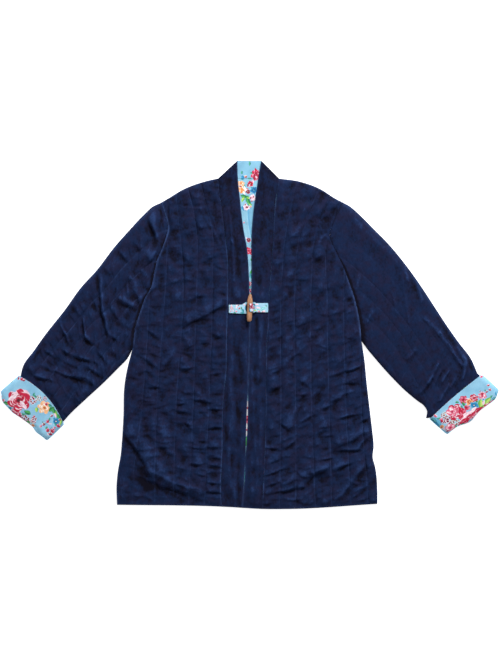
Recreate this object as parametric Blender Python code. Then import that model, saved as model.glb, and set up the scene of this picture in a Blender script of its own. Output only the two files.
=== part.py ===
"""A padded, quilted velvet jacket with a fastened toggle, laid flat on its back.

The front faces +Z, the hem points to -Y, and left and right are those of someone who looks
down at it. The tables are in millimetres. Their column across is measured to the right of
the middle of the neck, and down from the top edge of the collar towards the hem. Each wall
is a grid of outer points over a plain inner grid, closed round its rim.
"""

from collections import namedtuple

import bmesh
import bpy
import numpy as np
from mathutils import Vector
from mathutils.geometry import tessellate_polygon

MM = 0.001
GAP = 0.3  # between two pieces that touch
WELD = 0.005  # points this near each other are one point

# Heights of the layers above the surface that the jacket lies on
BACK_THICK = 4.5
LINING_THICK = 1.0
FRONT_DIP = 4.8  # underside of the front along its outer edges, just over the back
FRONT_LIFT = 1.3  # how much higher the underside is inside, over the lining
FRONT_WALL = 2.2  # wall along a quilting line
BAND_WALL = 2.6
DIP_WIDTH = 20.0
LINING_INSET = 30.0
OVER_LINING = BACK_THICK + GAP + LINING_THICK + GAP
FRONT_PUFF = 3.6  # padding between two quilting lines
BAND_PUFF = 1.9
SLEEVE_PUFF = 3.8
SEAM_PINCH = 13.0  # how far from a seam the padding takes to reach its full height
CHANNEL_STEPS = (0.0, 0.3, 0.7)  # columns of points across each quilted channel
BAND_STEPS = (0.0, 0.2, 0.5, 0.8, 1.0)
BAND_PARTNERS = (0, 2, 4)  # the columns of the band's upper face that its underside has too
ROWS = 31
ROUNDS = 40  # of finding where a front's rows and columns cross
SNAP = 1.5  # a point this near an outer edge lies on it
CREASE = 40.0  # degrees between two faces that meet in a sharp edge

# The back and its lining: shares of the width, and of the length from the shoulders to the hem
BACK_STEPS = (
    0.0, 0.012, 0.05, 0.12, 0.2, 0.28, 0.34, 0.42, 0.5, 0.58, 0.66, 0.72, 0.8, 0.88, 0.95, 0.988, 1.0,
)  # fmt: skip
BACK_LEVELS = np.concatenate([[0.0, 0.012], np.linspace(0.04, 0.96, 24), [0.988, 1.0]])
BACK_RIM = (1.3, 4.0)  # bottom and top of its rim
LINING_STEPS = (
    0.1, 0.17, 0.25, 0.325, 0.365, 0.425, 0.485, 0.545, 0.605, 0.645, 0.72, 0.81, 0.9,
)  # fmt: skip
LINING_ROWS = 15
NECK_STEPS = (0.35, 0.62)  # between these the lining runs up to the neckline

Point = namedtuple("Point", "down across")
Line = namedtuple("Line", "name points")
Fold = namedtuple("Fold", "from_down from_across to_down to_across width height")
Corner = namedtuple("Corner", "down across")


def points(*pairs):
    """A table of points, each (down, across)."""
    return [Point(*pair) for pair in pairs]


# Neck, shoulders, armholes and sides
HEM = points((737, -283), (741, -58), (746, 28), (746, 86), (735, 275))
LEFT_SHOULDER = points((90, -189), (80, -172), (62, -142), (45, -97), (42, -64))
RIGHT_SHOULDER = points((38, 64), (45, 110), (62, 155), (80, 183), (90, 202))
LEFT_ARMHOLE = points(
    (90, -189), (120, -179), (142, -174), (178, -183), (213, -197), (245, -204),
    (271, -210), (292, -222), (322, -233), (350, -242), (404, -250),
)  # fmt: skip
RIGHT_ARMHOLE = points(
    (90, 202), (103, 193), (130, 181), (160, 173), (200, 189), (229, 203),
    (261, 215), (290, 225), (322, 233), (350, 238), (387, 241),
)  # fmt: skip
LEFT_SIDE = points(
    (404, -250), (441, -260), (482, -267), (544, -269), (596, -272), (630, -275),
    (664, -281), (699, -284), (737, -283),
)  # fmt: skip
RIGHT_SIDE = points(
    (387, 241), (424, 247), (475, 252), (510, 256), (544, 260), (578, 264), (613, 267),
    (636, 265), (655, 270), (707, 275), (735, 275),
)  # fmt: skip

# The two front bands: the seam to the front, and the free edge
LEFT_BAND_SEAM = points(
    (42, -64), (65, -64), (135, -54), (202, -46), (284, -45), (385, -47), (447, -48),
    (492, -53), (559, -56), (626, -57), (694, -60), (741, -58),
)  # fmt: skip
LEFT_BAND_EDGE = points(
    (0, -25), (37, -24), (86, -19), (146, -12), (191, -4), (230, -1), (284, 1),
    (344, 1), (406, 0), (492, -3), (546, -5), (613, -7), (675, -9), (743, -15),
)  # fmt: skip
RIGHT_BAND_EDGE = points(
    (0, 26), (24, 22), (56, 17), (105, 10), (153, 6), (256, 5.5), (284, 4.5), (344, 2),
    (406, 1), (492, 0), (546, -1), (613, -3), (675, -6), (743, -14),
)  # fmt: skip
RIGHT_BAND_SEAM = points(
    (38, 64), (101, 55), (161, 52), (237, 47), (297, 42), (350, 40), (396, 37),
    (492, 36), (615, 34), (694, 30), (746, 28),
)  # fmt: skip

# Quilting lines of each front, from the band's seam outwards
LEFT_QUILTING = [
    Line("by the band", points(
        (42, -104), (103, -89), (148, -78), (228, -77), (559, -87), (741, -95),
    )),
    Line("second", points(
        (52, -132), (114, -117), (202, -109), (228, -110), (559, -120), (741, -129),
    )),
    Line("middle", points((73, -156), (228, -141), (559, -157), (741, -161))),
    Line("fourth", points((90, -172), (228, -176), (559, -198), (741, -201))),
    Line("by the side", points(
        (90, -200), (277, -211), (559, -232), (654, -245), (741, -249),
    )),
]  # fmt: skip
RIGHT_QUILTING = [
    Line("by the band", points(
        (42, 105), (67, 98), (129, 84), (174, 77), (234, 72), (546, 69), (741, 66),
    )),
    Line("second", points(
        (60, 150), (103, 132), (131, 119), (170, 107), (234, 101), (546, 101), (741, 101),
    )),
    Line("middle", points(
        (82, 172), (138, 148), (190, 137), (234, 135), (546, 135), (741, 143),
    )),
    Line("fourth", points((90, 192), (168, 168), (299, 168), (546, 173), (741, 178))),
    Line("fifth", points((90, 212), (277, 204), (546, 209), (741, 219))),
    Line("by the side", points((90, 232), (387, 239), (546, 242), (707, 254), (741, 256))),
]  # fmt: skip

# Sleeves, from the shoulder to the turned-up cuff, with the underarm seam below
LEFT_SLEEVE_TOP = points(
    (90, -189), (97, -206), (114, -226), (148, -258), (183, -289), (234, -328), (269, -360),
    (320, -397), (372, -438), (406, -462), (441, -485), (456, -488),
)  # fmt: skip
LEFT_SLEEVE_UNDER = points(
    (404, -250), (423, -262), (441, -280), (475, -314), (510, -352), (544, -387), (556, -397),
)  # fmt: skip
RIGHT_SLEEVE_TOP = points(
    (90, 202), (97, 215), (114, 235), (148, 269), (183, 303), (217, 331), (252, 357),
    (286, 380), (320, 402), (355, 425), (389, 449), (424, 475), (456, 489),
)  # fmt: skip
RIGHT_SLEEVE_UNDER = points(
    (387, 241), (406, 257), (424, 273), (458, 303), (492, 337), (527, 376), (541, 386),
)  # fmt: skip
SLEEVE_PITCH = 37.0  # between the quilting lines, which run along the sleeve's upper edge
SLEEVE_CHANNELS = 6
SLEEVE_ROWS = 19
SLEEVE_SHOWS = 0.88  # share of the rows that lies outside the cuff
SLEEVE_CLIMBS = (0.73, 0.83)  # between these shares it climbs to the height of the cuff's middle
SLEEVE_FLATTENS = (0.77, 0.83)  # and between these its padding and folds fade out
SLEEVE_WALL = 3.0
SLEEVE_MIDDLE = 4.6  # height of the two long edges
SLEEVE_ROUND = 16.0  # how far the rounding of a long edge reaches inwards
SLEEVE_UNDER_STEPS = (0.97, 0.9, 0.82, 0.74, 0.66, 0.58, 0.5, 0.42, 0.34, 0.26, 0.18, 0.1, 0.03)
ARMHOLE_GAP = 1.4  # a curved seam, where two rows of chords meet, needs more than a straight one
HEAD_PINCH = 0.043  # share of the length over which the padding rises from the armhole
FOLD_EDGE = 30.0  # how far from a long edge a fold reaches its full height
FOLD_HEAD = 0.08  # and the same from the armhole, as a share of the length
TUCK_START = 0.04  # where the sleeve's sides straighten inside the cuff, as a share of its depth
FAR = 1000.0  # further than any sleeve is wide

# Cuffs: the corners are where the free edge and the folded end meet the two sides
Cuff = namedtuple("Cuff", "free_top free_under end_top end_under free_bulge end_bulge")
LEFT_CUFF = Cuff(Corner(461, -494), Corner(568, -400), Corner(494, -533), Corner(600, -434), 13, 7)
RIGHT_CUFF = Cuff(Corner(457, 499), Corner(553, 386), Corner(491, 536), Corner(587, 424), 3, 7)
CUFF_STEPS = (0.0, 0.03, 0.1, 0.22, 0.36, 0.5, 0.64, 0.78, 0.9, 0.97, 1.0)
CUFF_MIDDLE = 8.5
CUFF_ROUND = 15.0
Layer = namedtuple("Layer", "share top bottom inset")
OUTSIDE = (17.0, 0.0, 0.0)  # top, bottom and inset of the printed outside
BEHIND = (14.0, 3.0, 3.0)  # the same wall's other face, next to the sleeve
TURN_IN = (10.3, 6.75, 14.0)  # the lining that goes on into the sleeve
HOLLOW = (9.2, 7.8, 15.0)
CUFF_LAYERS = [
    Layer(0.0, *OUTSIDE),
    Layer(0.3, *OUTSIDE),
    Layer(0.6, *OUTSIDE),
    Layer(0.88, *OUTSIDE),
    Layer(0.975, 15.2, 1.8, 1.0),
    Layer(1.0, 11.6, 5.4, 4.2),
    Layer(0.98, *HOLLOW),
    Layer(0.88, *HOLLOW),
    Layer(0.78, *HOLLOW),
    Layer(0.78, *TURN_IN),
    Layer(0.9, *TURN_IN),
    Layer(0.935, 12.2, 4.8, 4.8),
    Layer(0.9, *BEHIND),
    Layer(0.6, *BEHIND),
    Layer(0.3, *BEHIND),
    Layer(0.0, *BEHIND),
]
SLEEVE_END = 0.86  # share of the cuff's depth that the sleeve reaches inside it
SLEEVE_TUCK = 6.0  # how far the sleeve stays inside the cuff's sides
CUFF_LIFT = 3.35  # how much the cuff's lower layer lifts the sleeve

# The largest folds: ridges are above nought and troughs below
LEFT_FRONT_FOLDS = [
    Fold(594, -262, 662, -214, 13, 5.0),
    Fold(612, -258, 676, -214, 12, -3.0),
    Fold(678, -243, 726, -112, 20, -3.2),
    Fold(314, -58, 360, -138, 13, -3.4),
    Fold(298, -60, 338, -130, 14, 3.0),
    Fold(420, -236, 436, -208, 12, -2.6),
    Fold(426, -165, 448, -187, 12, -2.6),
    Fold(540, -140, 520, -100, 11, -2.2),
    Fold(206, -200, 262, -206, 15, 3.0),
]
RIGHT_FRONT_FOLDS = [
    Fold(426, 92, 386, 130, 13, -2.8),
    Fold(508, 114, 553, 125, 12, -2.6),
    Fold(460, 189, 449, 220, 13, -3.0),
    Fold(508, 189, 480, 219, 13, -2.6),
    Fold(553, 194, 546, 228, 12, -2.6),
    Fold(621, 206, 591, 253, 14, -3.0),
    Fold(605, 190, 575, 246, 13, 3.4),
    Fold(684, 228, 660, 244, 12, -2.6),
    Fold(707, 71, 673, 164, 15, -3.2),
    Fold(688, 76, 655, 160, 14, 2.8),
    Fold(170, 150, 160, 163, 9, 3.0),
]
LEFT_SLEEVE_FOLDS = [
    Fold(252, -322, 372, -303, 15, 5.0),
    Fold(290, -334, 390, -330, 15, -3.2),
    Fold(123, -209, 176, -189, 14, -3.0),
    Fold(264, -262, 310, -234, 13, -3.0),
    Fold(348, -303, 378, -280, 12, -2.6),
    Fold(408, -398, 432, -308, 14, -3.2),
    Fold(458, -462, 482, -335, 13, -2.6),
    Fold(524, -388, 484, -332, 11, 2.6),
]
RIGHT_SLEEVE_FOLDS = [
    Fold(144, 252, 211, 316, 16, 3.4),
    Fold(372, 402, 460, 462, 14, 4.2),
    Fold(430, 471, 473, 464, 13, -3.6),
    Fold(432, 383, 490, 372, 13, -2.6),
    Fold(434, 406, 464, 432, 12, -2.4),
    Fold(330, 262, 372, 250, 16, -3.0),
]

# Neck band at the back, with its lined face up
COLLAR_TOP = points((0, -25), (0, 26))
COLLAR_THICK = 5.4
COLLAR_RIM = (1.2, 4.5)  # bottom and top of its rim
COLLAR_ROWS = 6
COLLAR_COLUMNS = 9

# Toggle fastening. Its places are measured from the middle of the toggle
TOGGLE_MIDDLE = Corner(316.0, 2.0)
TOGGLE_LENGTH = 60.0
TOGGLE_WIDTH = 12.0
TOGGLE_HEIGHT = 9.0
TOGGLE_UNDERSIDE = 13.7
TOGGLE_SIDES = 20
TurnedRing = namedtuple("TurnedRing", "share radius")
TOGGLE_PROFILE = [
    TurnedRing(0.0, 0.16), TurnedRing(0.03, 0.36), TurnedRing(0.1, 0.62), TurnedRing(0.2, 0.88),
    TurnedRing(0.32, 1.0), TurnedRing(0.46, 0.97), TurnedRing(0.6, 0.93), TurnedRing(0.75, 0.87),
    TurnedRing(0.9, 0.76), TurnedRing(0.97, 0.66), TurnedRing(1.0, 0.42),
]  # fmt: skip
SLOT_LENGTH = 18.6
SLOT_WIDTH = 3.4
STRAP_THICK = 1.0
Strap = namedtuple("Strap", "along height half_width")
TAB_END = 38.5
TAB_DROP = 1.5  # how much the sewn end lies lower, in the seam
TAB_NECK = 15.6
TAB_CLEAR = 0.2  # the crest of the band lies this much higher than its columns of points
LOOP_STRIP = (-17.0, -24.0, -38.0, -45.0)  # places along the strip, to its sewn end
LOOP_ARC = 132.0  # degrees of the ring on each side of its far end
LOOP_POINTS = 27
LOOP_BACK_POINTS = 9  # of the hole's outline behind the strip
LOOP_SPLIT = -13.0
LOOP_FAR = 15.0
LOOP_STRIP_HALF = 9.8
LOOP_RING_HALF = 13.0
LOOP_STRAND = 3.4
LOOP_SQUARENESS = 5.0  # power of the ring's rounded-square outline
LOOP_CLIMB = (2.0, 10.8)  # where the strands begin and end their climb over the tab
LOOP_OVER = 13.75
LOOP_THICK = 1.7

Finish = namedtuple("Finish", "color roughness metallic")
VELVET = Finish((0.012, 0.02, 0.062, 1.0), 0.95, 0.0)
PRINT = Finish((0.33, 0.62, 0.83, 1.0), 0.85, 0.0)
WOOD = Finish((0.45, 0.24, 0.12, 1.0), 0.55, 0.0)


def smooth_through(places, values, at):
    """A curve through the values at the places, with each slope the mean slope at its place."""
    places = np.asarray(places, float)
    values = np.asarray(values, float)
    slopes = np.gradient(values, places)
    cell = np.clip(np.searchsorted(places, at, side="right") - 1, 0, len(places) - 2)
    width = places[cell + 1] - places[cell]
    u = np.clip((at - places[cell]) / width, 0.0, 1.0)
    rest = 1.0 - u
    start = values[cell] * (1 + 2 * u) * rest**2 + slopes[cell] * width * u * rest**2
    end = values[cell + 1] * (3 - 2 * u) * u**2 - slopes[cell + 1] * width * u**2 * rest
    return start + end


def across_at(table, down):
    """Across, on a line that runs down the jacket."""
    return smooth_through([p.down for p in table], [p.across for p in table], down)


def down_at(table, across):
    """Down, on a line that runs across the jacket."""
    return smooth_through([p.across for p in table], [p.down for p in table], across)


def point_on(table, share, through=smooth_through):
    """The point at a share of a table's length, as (across, down)."""
    downs = np.array([p.down for p in table], float)
    acrosses = np.array([p.across for p in table], float)
    lengths = np.append(0.0, np.cumsum(np.hypot(np.diff(downs), np.diff(acrosses))))
    at = np.clip(share, 0.0, 1.0) * lengths[-1]
    return np.stack([through(lengths, acrosses, at), through(lengths, downs, at)], axis=-1)


def straight_through(places, values, at):
    """Straight lines through the values at the places."""
    return np.interp(at, places, values)


def ramp(value):
    """From 0 to 1, slow at both ends."""
    value = np.clip(value, 0.0, 1.0)
    return value * value * (3.0 - 2.0 * value)


def rounding(distance, reach):
    """A quarter circle that rises from an edge: 0 on the edge, and 1 from reach inwards."""
    return np.sqrt(1.0 - (1.0 - np.clip(distance / reach, 0.0, 1.0)) ** 2)


def padding(share):
    """Height of the padding across one channel, from 0 at one line to 0 at the next."""
    return np.sin(np.pi * np.clip(share, 0.0, 1.0)) ** 0.6


def fold_heights(folds, across, down):
    """Ridges and troughs, each a bell across its line that fades out at both ends."""
    ridges = np.zeros_like(across)
    troughs = np.zeros_like(across)
    for fold in folds:
        run = np.array([fold.to_across - fold.from_across, fold.to_down - fold.from_down], float)
        length = np.hypot(*run)
        run /= length
        right = across - fold.from_across
        below = down - fold.from_down
        along = right * run[0] + below * run[1]
        beside = right * run[1] - below * run[0]
        beyond = np.maximum(0.0, np.maximum(-along, along - length))
        height = fold.height * np.exp(-((beside / fold.width) ** 2) - (beyond / fold.width) ** 2)
        ridges += np.maximum(height, 0.0)
        troughs += np.minimum(height, 0.0)
    return ridges, troughs


def patch(head, end, first_side, second_side, s, t):
    """A surface between four lines: head and end at t 0 and 1, the sides at s 0 and 1."""
    s = s[..., None]
    t = t[..., None]
    corners = (
        (1 - s) * (1 - t) * head(np.zeros(1)) + s * (1 - t) * head(np.ones(1))
        + (1 - s) * t * end(np.zeros(1)) + s * t * end(np.ones(1))
    )  # fmt: skip
    lengthwise = (1 - t) * head(s[..., 0]) + t * end(s[..., 0])
    crosswise = (1 - s) * first_side(t[..., 0]) + s * second_side(t[..., 0])
    return lengthwise + crosswise - corners


def placed(plan, height):
    """World places in metres, before centring: across is X, down is -Y, height is Z."""
    return np.stack([plan[..., 0], -plan[..., 1], height], axis=-1) * MM


def new_material(name, finish):
    """The plain finish of one piece."""
    material = bpy.data.materials.new(name)
    material.use_nodes = True
    shader = material.node_tree.nodes["Principled BSDF"]
    shader.inputs["Base Color"].default_value = finish.color
    shader.inputs["Roughness"].default_value = finish.roughness
    shader.inputs["Metallic"].default_value = finish.metallic
    material.diffuse_color = finish.color
    return material


def new_piece(name, places, faces, finish):
    """One closed, smooth-shaded object. Points that coincide become one, and faces triangles."""
    mesh = bpy.data.meshes.new(name)
    work = bmesh.new()
    corners = [work.verts.new(place) for place in places]
    for face in faces:
        work.faces.new([corners[i] for i in face])
    bmesh.ops.remove_doubles(work, verts=work.verts[:], dist=WELD * MM)
    bmesh.ops.triangulate(work, faces=work.faces[:])
    bmesh.ops.recalc_face_normals(work, faces=work.faces[:])
    work.to_mesh(mesh)
    work.free()
    mesh.materials.append(new_material(name, finish))
    mesh.shade_smooth()
    mesh.set_sharp_from_angle(angle=np.radians(CREASE))
    piece = bpy.data.objects.new(name, mesh)
    bpy.context.collection.objects.link(piece)
    return piece


def grid_faces(first, rows, columns):
    """Faces of a grid whose points are numbered row by row from first."""
    return [
        (first + r * columns + c, first + r * columns + c + 1,
         first + (r + 1) * columns + c + 1, first + (r + 1) * columns + c)
        for r in range(rows - 1) for c in range(columns - 1)
    ]  # fmt: skip


def wall_piece(name, outer, inner, partners, finish):
    """A wall between an outer grid and a plainer inner one, closed round its four sides.

    partners holds, for each column of the inner grid, its column in the outer grid.
    """
    rows, columns = outer.shape[:2]
    inner_columns = inner.shape[1]
    base = rows * columns
    faces = grid_faces(0, rows, columns)
    faces += [face[::-1] for face in grid_faces(base, rows, inner_columns)]
    for r in range(rows - 1):
        for column, partner in ((0, 0), (columns - 1, inner_columns - 1)):
            rim = [r * columns + column, (r + 1) * columns + column]
            rim += [base + (r + 1) * inner_columns + partner, base + r * inner_columns + partner]
            faces.append(rim if column == 0 else rim[::-1])
    for r in (0, rows - 1):
        for c in range(inner_columns - 1):
            rim = [r * columns + k for k in range(partners[c], partners[c + 1] + 1)]
            rim += [base + r * inner_columns + c + 1, base + r * inner_columns + c]
            faces.append(rim if r else rim[::-1])
    places = np.concatenate([outer.reshape(-1, 3), inner.reshape(-1, 3)])
    return new_piece(name, places, faces, finish)


def ring_piece(name, rings, finish):
    """A closed ring: each row of points is joined to the next, and the last to the first."""
    rows, count = rings.shape[:2]
    faces = [
        (r * count + c, r * count + (c + 1) % count,
         (r + 1) % rows * count + (c + 1) % count, (r + 1) % rows * count + c)
        for r in range(rows) for c in range(count)
    ]  # fmt: skip
    return new_piece(name, rings.reshape(-1, 3), faces, finish)


def outline_distance(side, across, down):
    """How far a point of the body lies inside the shoulder, the side seam and the hem."""
    underarm = side.edge[0]
    beside = np.abs(across - across_at(side.edge, down))
    to_underarm = np.hypot(across - underarm.across, down - underarm.down)
    from_side = np.where(down > underarm.down, beside, to_underarm)
    from_shoulder = down - down_at(side.shoulder, across)
    from_hem = down_at(HEM, across) - down
    return np.minimum(np.minimum(from_side, from_shoulder), from_hem)


def underside(side, across, down):
    """The front's underside: low along the outline and lifted inside by the lining."""
    return FRONT_DIP + FRONT_LIFT * ramp(outline_distance(side, across, down) / DIP_WIDTH)


Side = namedtuple(
    "Side",
    "shoulder armhole edge seam free quilting folds sleeve_top sleeve_under sleeve_folds cuff",
)
LEFT = Side(
    LEFT_SHOULDER, LEFT_ARMHOLE, LEFT_SIDE, LEFT_BAND_SEAM, LEFT_BAND_EDGE, LEFT_QUILTING,
    LEFT_FRONT_FOLDS, LEFT_SLEEVE_TOP, LEFT_SLEEVE_UNDER, LEFT_SLEEVE_FOLDS, LEFT_CUFF,
)  # fmt: skip
RIGHT = Side(
    RIGHT_SHOULDER, RIGHT_ARMHOLE, RIGHT_SIDE, RIGHT_BAND_SEAM, RIGHT_BAND_EDGE, RIGHT_QUILTING,
    RIGHT_FRONT_FOLDS, RIGHT_SLEEVE_TOP, RIGHT_SLEEVE_UNDER, RIGHT_SLEEVE_FOLDS, RIGHT_CUFF,
)  # fmt: skip


def outer_edge(side, down):
    """Across, on the front's armhole and then its side seam."""
    armhole = across_at(side.armhole, down)
    return np.where(down < side.edge[0].down, armhole, across_at(side.edge, down))


def front(name, side):
    """One quilted front. Its columns follow the quilting lines and stop at the outer edge."""
    sign = np.sign(side.armhole[0].across)
    first, last = side.edge[0].down, side.edge[-1].down
    lines = [side.seam] + [line.points for line in side.quilting] + [side.edge]
    channels = len(lines) - 1
    steps = [k + step for k in range(channels) for step in CHANNEL_STEPS] + [float(channels)]
    column, t = np.meshgrid(np.array(steps), np.linspace(0.0, 1.0, ROWS))
    across = np.full_like(column, side.quilting[1].points[0].across)
    down = first + (last - first) * t
    for _ in range(ROUNDS):
        on_lines = np.stack([across_at(line, down) for line in lines])
        k = np.clip(column.astype(int), 0, channels - 1)
        before = np.take_along_axis(on_lines, k[None], axis=0)[0]
        after = np.take_along_axis(on_lines, k[None] + 1, axis=0)[0]
        across = before + (after - before) * (column - k)
        limit = outer_edge(side, down) - sign * GAP
        past = (across - limit) * sign > -SNAP
        across = np.where(past | (column == channels), limit, across) + sign * GAP * (column == 0)
        top = down_at(side.shoulder, across)
        down = top + (down_at(HEM, across) - top) * t
    to_edge = np.abs(outer_edge(side, down) - across)
    inside = np.minimum(outline_distance(side, across, down), to_edge)
    ridges, troughs = fold_heights(side.folds, across, down)
    calm = ramp(inside / SEAM_PINCH)
    low = underside(side, across, down) + ridges * calm
    puff = FRONT_PUFF * padding(column - np.floor(column)) + troughs
    high = low + FRONT_WALL + np.maximum(puff, 0.0) * calm
    plan = np.stack([across, down], axis=-1)
    partners = list(range(0, len(steps), len(CHANNEL_STEPS)))
    return wall_piece(name, placed(plan, high), placed(plan, low)[:, partners], partners, VELVET)


def band_plan(side, w, t):
    """A point of a front band: w runs from its seam to its free edge, t from neck to hem."""
    seam_down = side.seam[0].down + (side.seam[-1].down - side.seam[0].down) * t
    free_down = side.free[0].down + (side.free[-1].down - side.free[0].down) * t
    seam = across_at(side.seam, seam_down)
    free = across_at(side.free, free_down)
    return np.stack([seam + (free - seam) * w, seam_down + (free_down - seam_down) * w], axis=-1)


def band_heights(w, across, down):
    """The band's underside, and its upper face with a low crown between seam and free edge."""
    from_hem = down_at(HEM, across) - down
    low = FRONT_DIP + FRONT_LIFT * ramp(from_hem / DIP_WIDTH)
    return low, low + BAND_WALL + BAND_PUFF * padding(w) * ramp(from_hem / SEAM_PINCH)


def band(name, side):
    """One smooth front band, from the back of the neck to the hem."""
    w, t = np.meshgrid(np.array(BAND_STEPS), np.linspace(0.0, 1.0, ROWS))
    plan = band_plan(side, w, t)
    low, high = band_heights(w, plan[..., 0], plan[..., 1])
    inner = placed(plan, low)[:, BAND_PARTNERS]
    return wall_piece(name, placed(plan, high), inner, BAND_PARTNERS, VELVET)


def body_patch(s, t):
    """A point of the whole back: s from left to right, t from the shoulders to the hem."""
    top = LEFT.shoulder + RIGHT.shoulder

    def neckline(share):
        return point_on(top, share, straight_through)

    def hemline(share):
        across = HEM[0].across + (HEM[-1].across - HEM[0].across) * share
        return np.stack([across, down_at(HEM, across)], axis=-1)

    def left_edge(share):
        down = LEFT.armhole[0].down + (HEM[0].down - LEFT.armhole[0].down) * share
        return np.stack([outer_edge(LEFT, down), down], axis=-1)

    def right_edge(share):
        down = RIGHT.armhole[0].down + (HEM[-1].down - RIGHT.armhole[0].down) * share
        return np.stack([outer_edge(RIGHT, down), down], axis=-1)

    return patch(neckline, hemline, left_edge, right_edge, s, t)


def back():
    """The outer back, flat underneath, with its rim rounded up to meet the front."""
    s, t = np.meshgrid(np.array(BACK_STEPS), BACK_LEVELS)
    plan = body_patch(s, t)
    rim = (s == 0) | (s == 1) | (t == 0) | (t == 1)
    low = placed(plan, np.where(rim, BACK_RIM[0], 0.0))
    high = placed(plan, np.where(rim, BACK_RIM[1], BACK_THICK))
    return wall_piece("back", high, low, range(len(BACK_STEPS)), VELVET)


def lining_back():
    """The printed lining of the back, which shows in the neck and down the front slit."""
    s, row = np.meshgrid(np.array(LINING_STEPS), np.linspace(0.0, 1.0, LINING_ROWS))
    neck = (s > NECK_STEPS[0]) & (s < NECK_STEPS[1])
    length = HEM[0].down - LEFT.shoulder[0].down
    first = np.where(neck, GAP, LINING_INSET) / length
    plan = body_patch(s, first + (1 - LINING_INSET / length - first) * row)
    low = placed(plan, np.full_like(s, BACK_THICK + GAP))
    high = placed(plan, np.full_like(s, BACK_THICK + GAP + LINING_THICK))
    return wall_piece("lining_back", high, low, range(len(LINING_STEPS)), PRINT)


def straight(first, second, share):
    """Places on the straight line from one corner to another, as (across, down)."""
    start = np.array([first.across, first.down], float)
    run = np.array([second.across, second.down], float) - start
    return start + run * share[..., None]


def band_back():
    """The band behind the neck, seen from its lined side between the two front bands."""
    steps = np.linspace(0.0, 1.0, COLLAR_COLUMNS)
    s, t = np.meshgrid(steps, np.linspace(0.0, 1.0, COLLAR_ROWS))
    top = straight(COLLAR_TOP[0], COLLAR_TOP[1], s)
    seam = straight(LEFT.shoulder[-1], RIGHT.shoulder[0], s) - (0.0, GAP)
    plan = top + (seam - top) * t[..., None]
    rim = (s == 0) | (s == 1) | (t == 0)
    low = placed(plan, np.where(rim, COLLAR_RIM[0], 0.0))
    high = placed(plan, np.where(rim, COLLAR_RIM[1], COLLAR_THICK))
    return wall_piece("band_back", high, low, range(len(steps)), PRINT)


def bowed(first, second, bulge, share):
    """The same line, bowed to the left of its run by bulge in its middle."""
    run = np.array([second.across - first.across, second.down - first.down], float)
    beside = np.array([-run[1], run[0]]) / np.hypot(*run)
    return straight(first, second, share) + beside * bulge * (4 * share * (1 - share))[..., None]


def cuff_patch(cuff, s, t):
    """A point of a cuff: s from its upper side to its lower one, t from free edge to fold."""
    outwards = np.sign(-cuff.free_top.across)

    def free_edge(share):
        return bowed(cuff.free_top, cuff.free_under, -cuff.free_bulge * outwards, share)

    def folded_end(share):
        return bowed(cuff.end_top, cuff.end_under, cuff.end_bulge * outwards, share)

    def upper(share):
        return straight(cuff.free_top, cuff.end_top, share)

    def lower(share):
        return straight(cuff.free_under, cuff.end_under, share)

    return patch(free_edge, folded_end, upper, lower, s, t)


def cuff_width(cuff):
    """The length of the folded end."""
    run = cuff.end_under.across - cuff.end_top.across, cuff.end_under.down - cuff.end_top.down
    return np.hypot(*run)


def cuff(name, side):
    """The sleeve's end turned up: a flat ring whose section hooks round the end of the sleeve."""
    width = cuff_width(side.cuff)
    steps = np.array(CUFF_STEPS)
    rings = []
    for layer in CUFF_LAYERS:
        shrink = layer.inset / width
        s = shrink + (1 - 2 * shrink) * steps
        plan = cuff_patch(side.cuff, s, np.full_like(s, layer.share))
        reach = rounding(np.minimum(steps, 1 - steps) * width, CUFF_ROUND)
        top = CUFF_MIDDLE + (layer.top - CUFF_MIDDLE) * reach
        bottom = CUFF_MIDDLE + (layer.bottom - CUFF_MIDDLE) * reach
        rings.append(np.concatenate([placed(plan, top), placed(plan, bottom)[-2:0:-1]]))
    return ring_piece(name, np.array(rings), PRINT)


def sleeve_edge(side, table, s):
    """A long edge of the sleeve: its table outside the cuff, then straight on inside it."""
    tucked = cuff_patch(side.cuff, np.array([s, s]), np.array([TUCK_START, SLEEVE_END]))

    def edge(share):
        outside = point_on(table, share / SLEEVE_SHOWS)
        beyond = ((share - SLEEVE_SHOWS) / (1 - SLEEVE_SHOWS))[..., None]
        inside = tucked[0] + (tucked[1] - tucked[0]) * beyond
        return np.where((share <= SLEEVE_SHOWS)[..., None], outside, inside)

    return edge


def share_across(distance, width):
    """Share of the sleeve's width. What lies within SNAP of the underarm seam lies on it."""
    share = np.clip(distance / width, 0.0, 1.0)
    return np.where(width * (1 - share) < SNAP, 1.0, share)


def sleeve_plan(side, distance, t):
    """Points of the sleeve at a distance from its upper edge, clamped at the underarm seam.

    It gives the plan, and the distances to the upper and to the lower edge.
    """
    tuck = SLEEVE_TUCK / cuff_width(side.cuff)
    upper = sleeve_edge(side, side.sleeve_top, tuck)
    lower = sleeve_edge(side, side.sleeve_under, 1 - tuck)

    def head(share):
        return point_on(side.armhole, share)

    def end(share):
        s = tuck + (1 - 2 * tuck) * share
        return cuff_patch(side.cuff, s, np.full_like(share, SLEEVE_END))

    start, stop = side.sleeve_top[0], side.sleeve_top[-1]
    axis = np.array([stop.across - start.across, stop.down - start.down], float)
    axis /= np.hypot(*axis)
    over = lower(t) - upper(t)
    width = np.abs(over[..., 0] * axis[1] - over[..., 1] * axis[0])
    share = share_across(distance, width)
    apart = np.array([np.sign(start.across) * ARMHOLE_GAP, 0.0]) * (1 - t)[..., None]
    plan = patch(head, end, upper, lower, share, t) + apart
    return plan, share * width, (1 - share) * width


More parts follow.
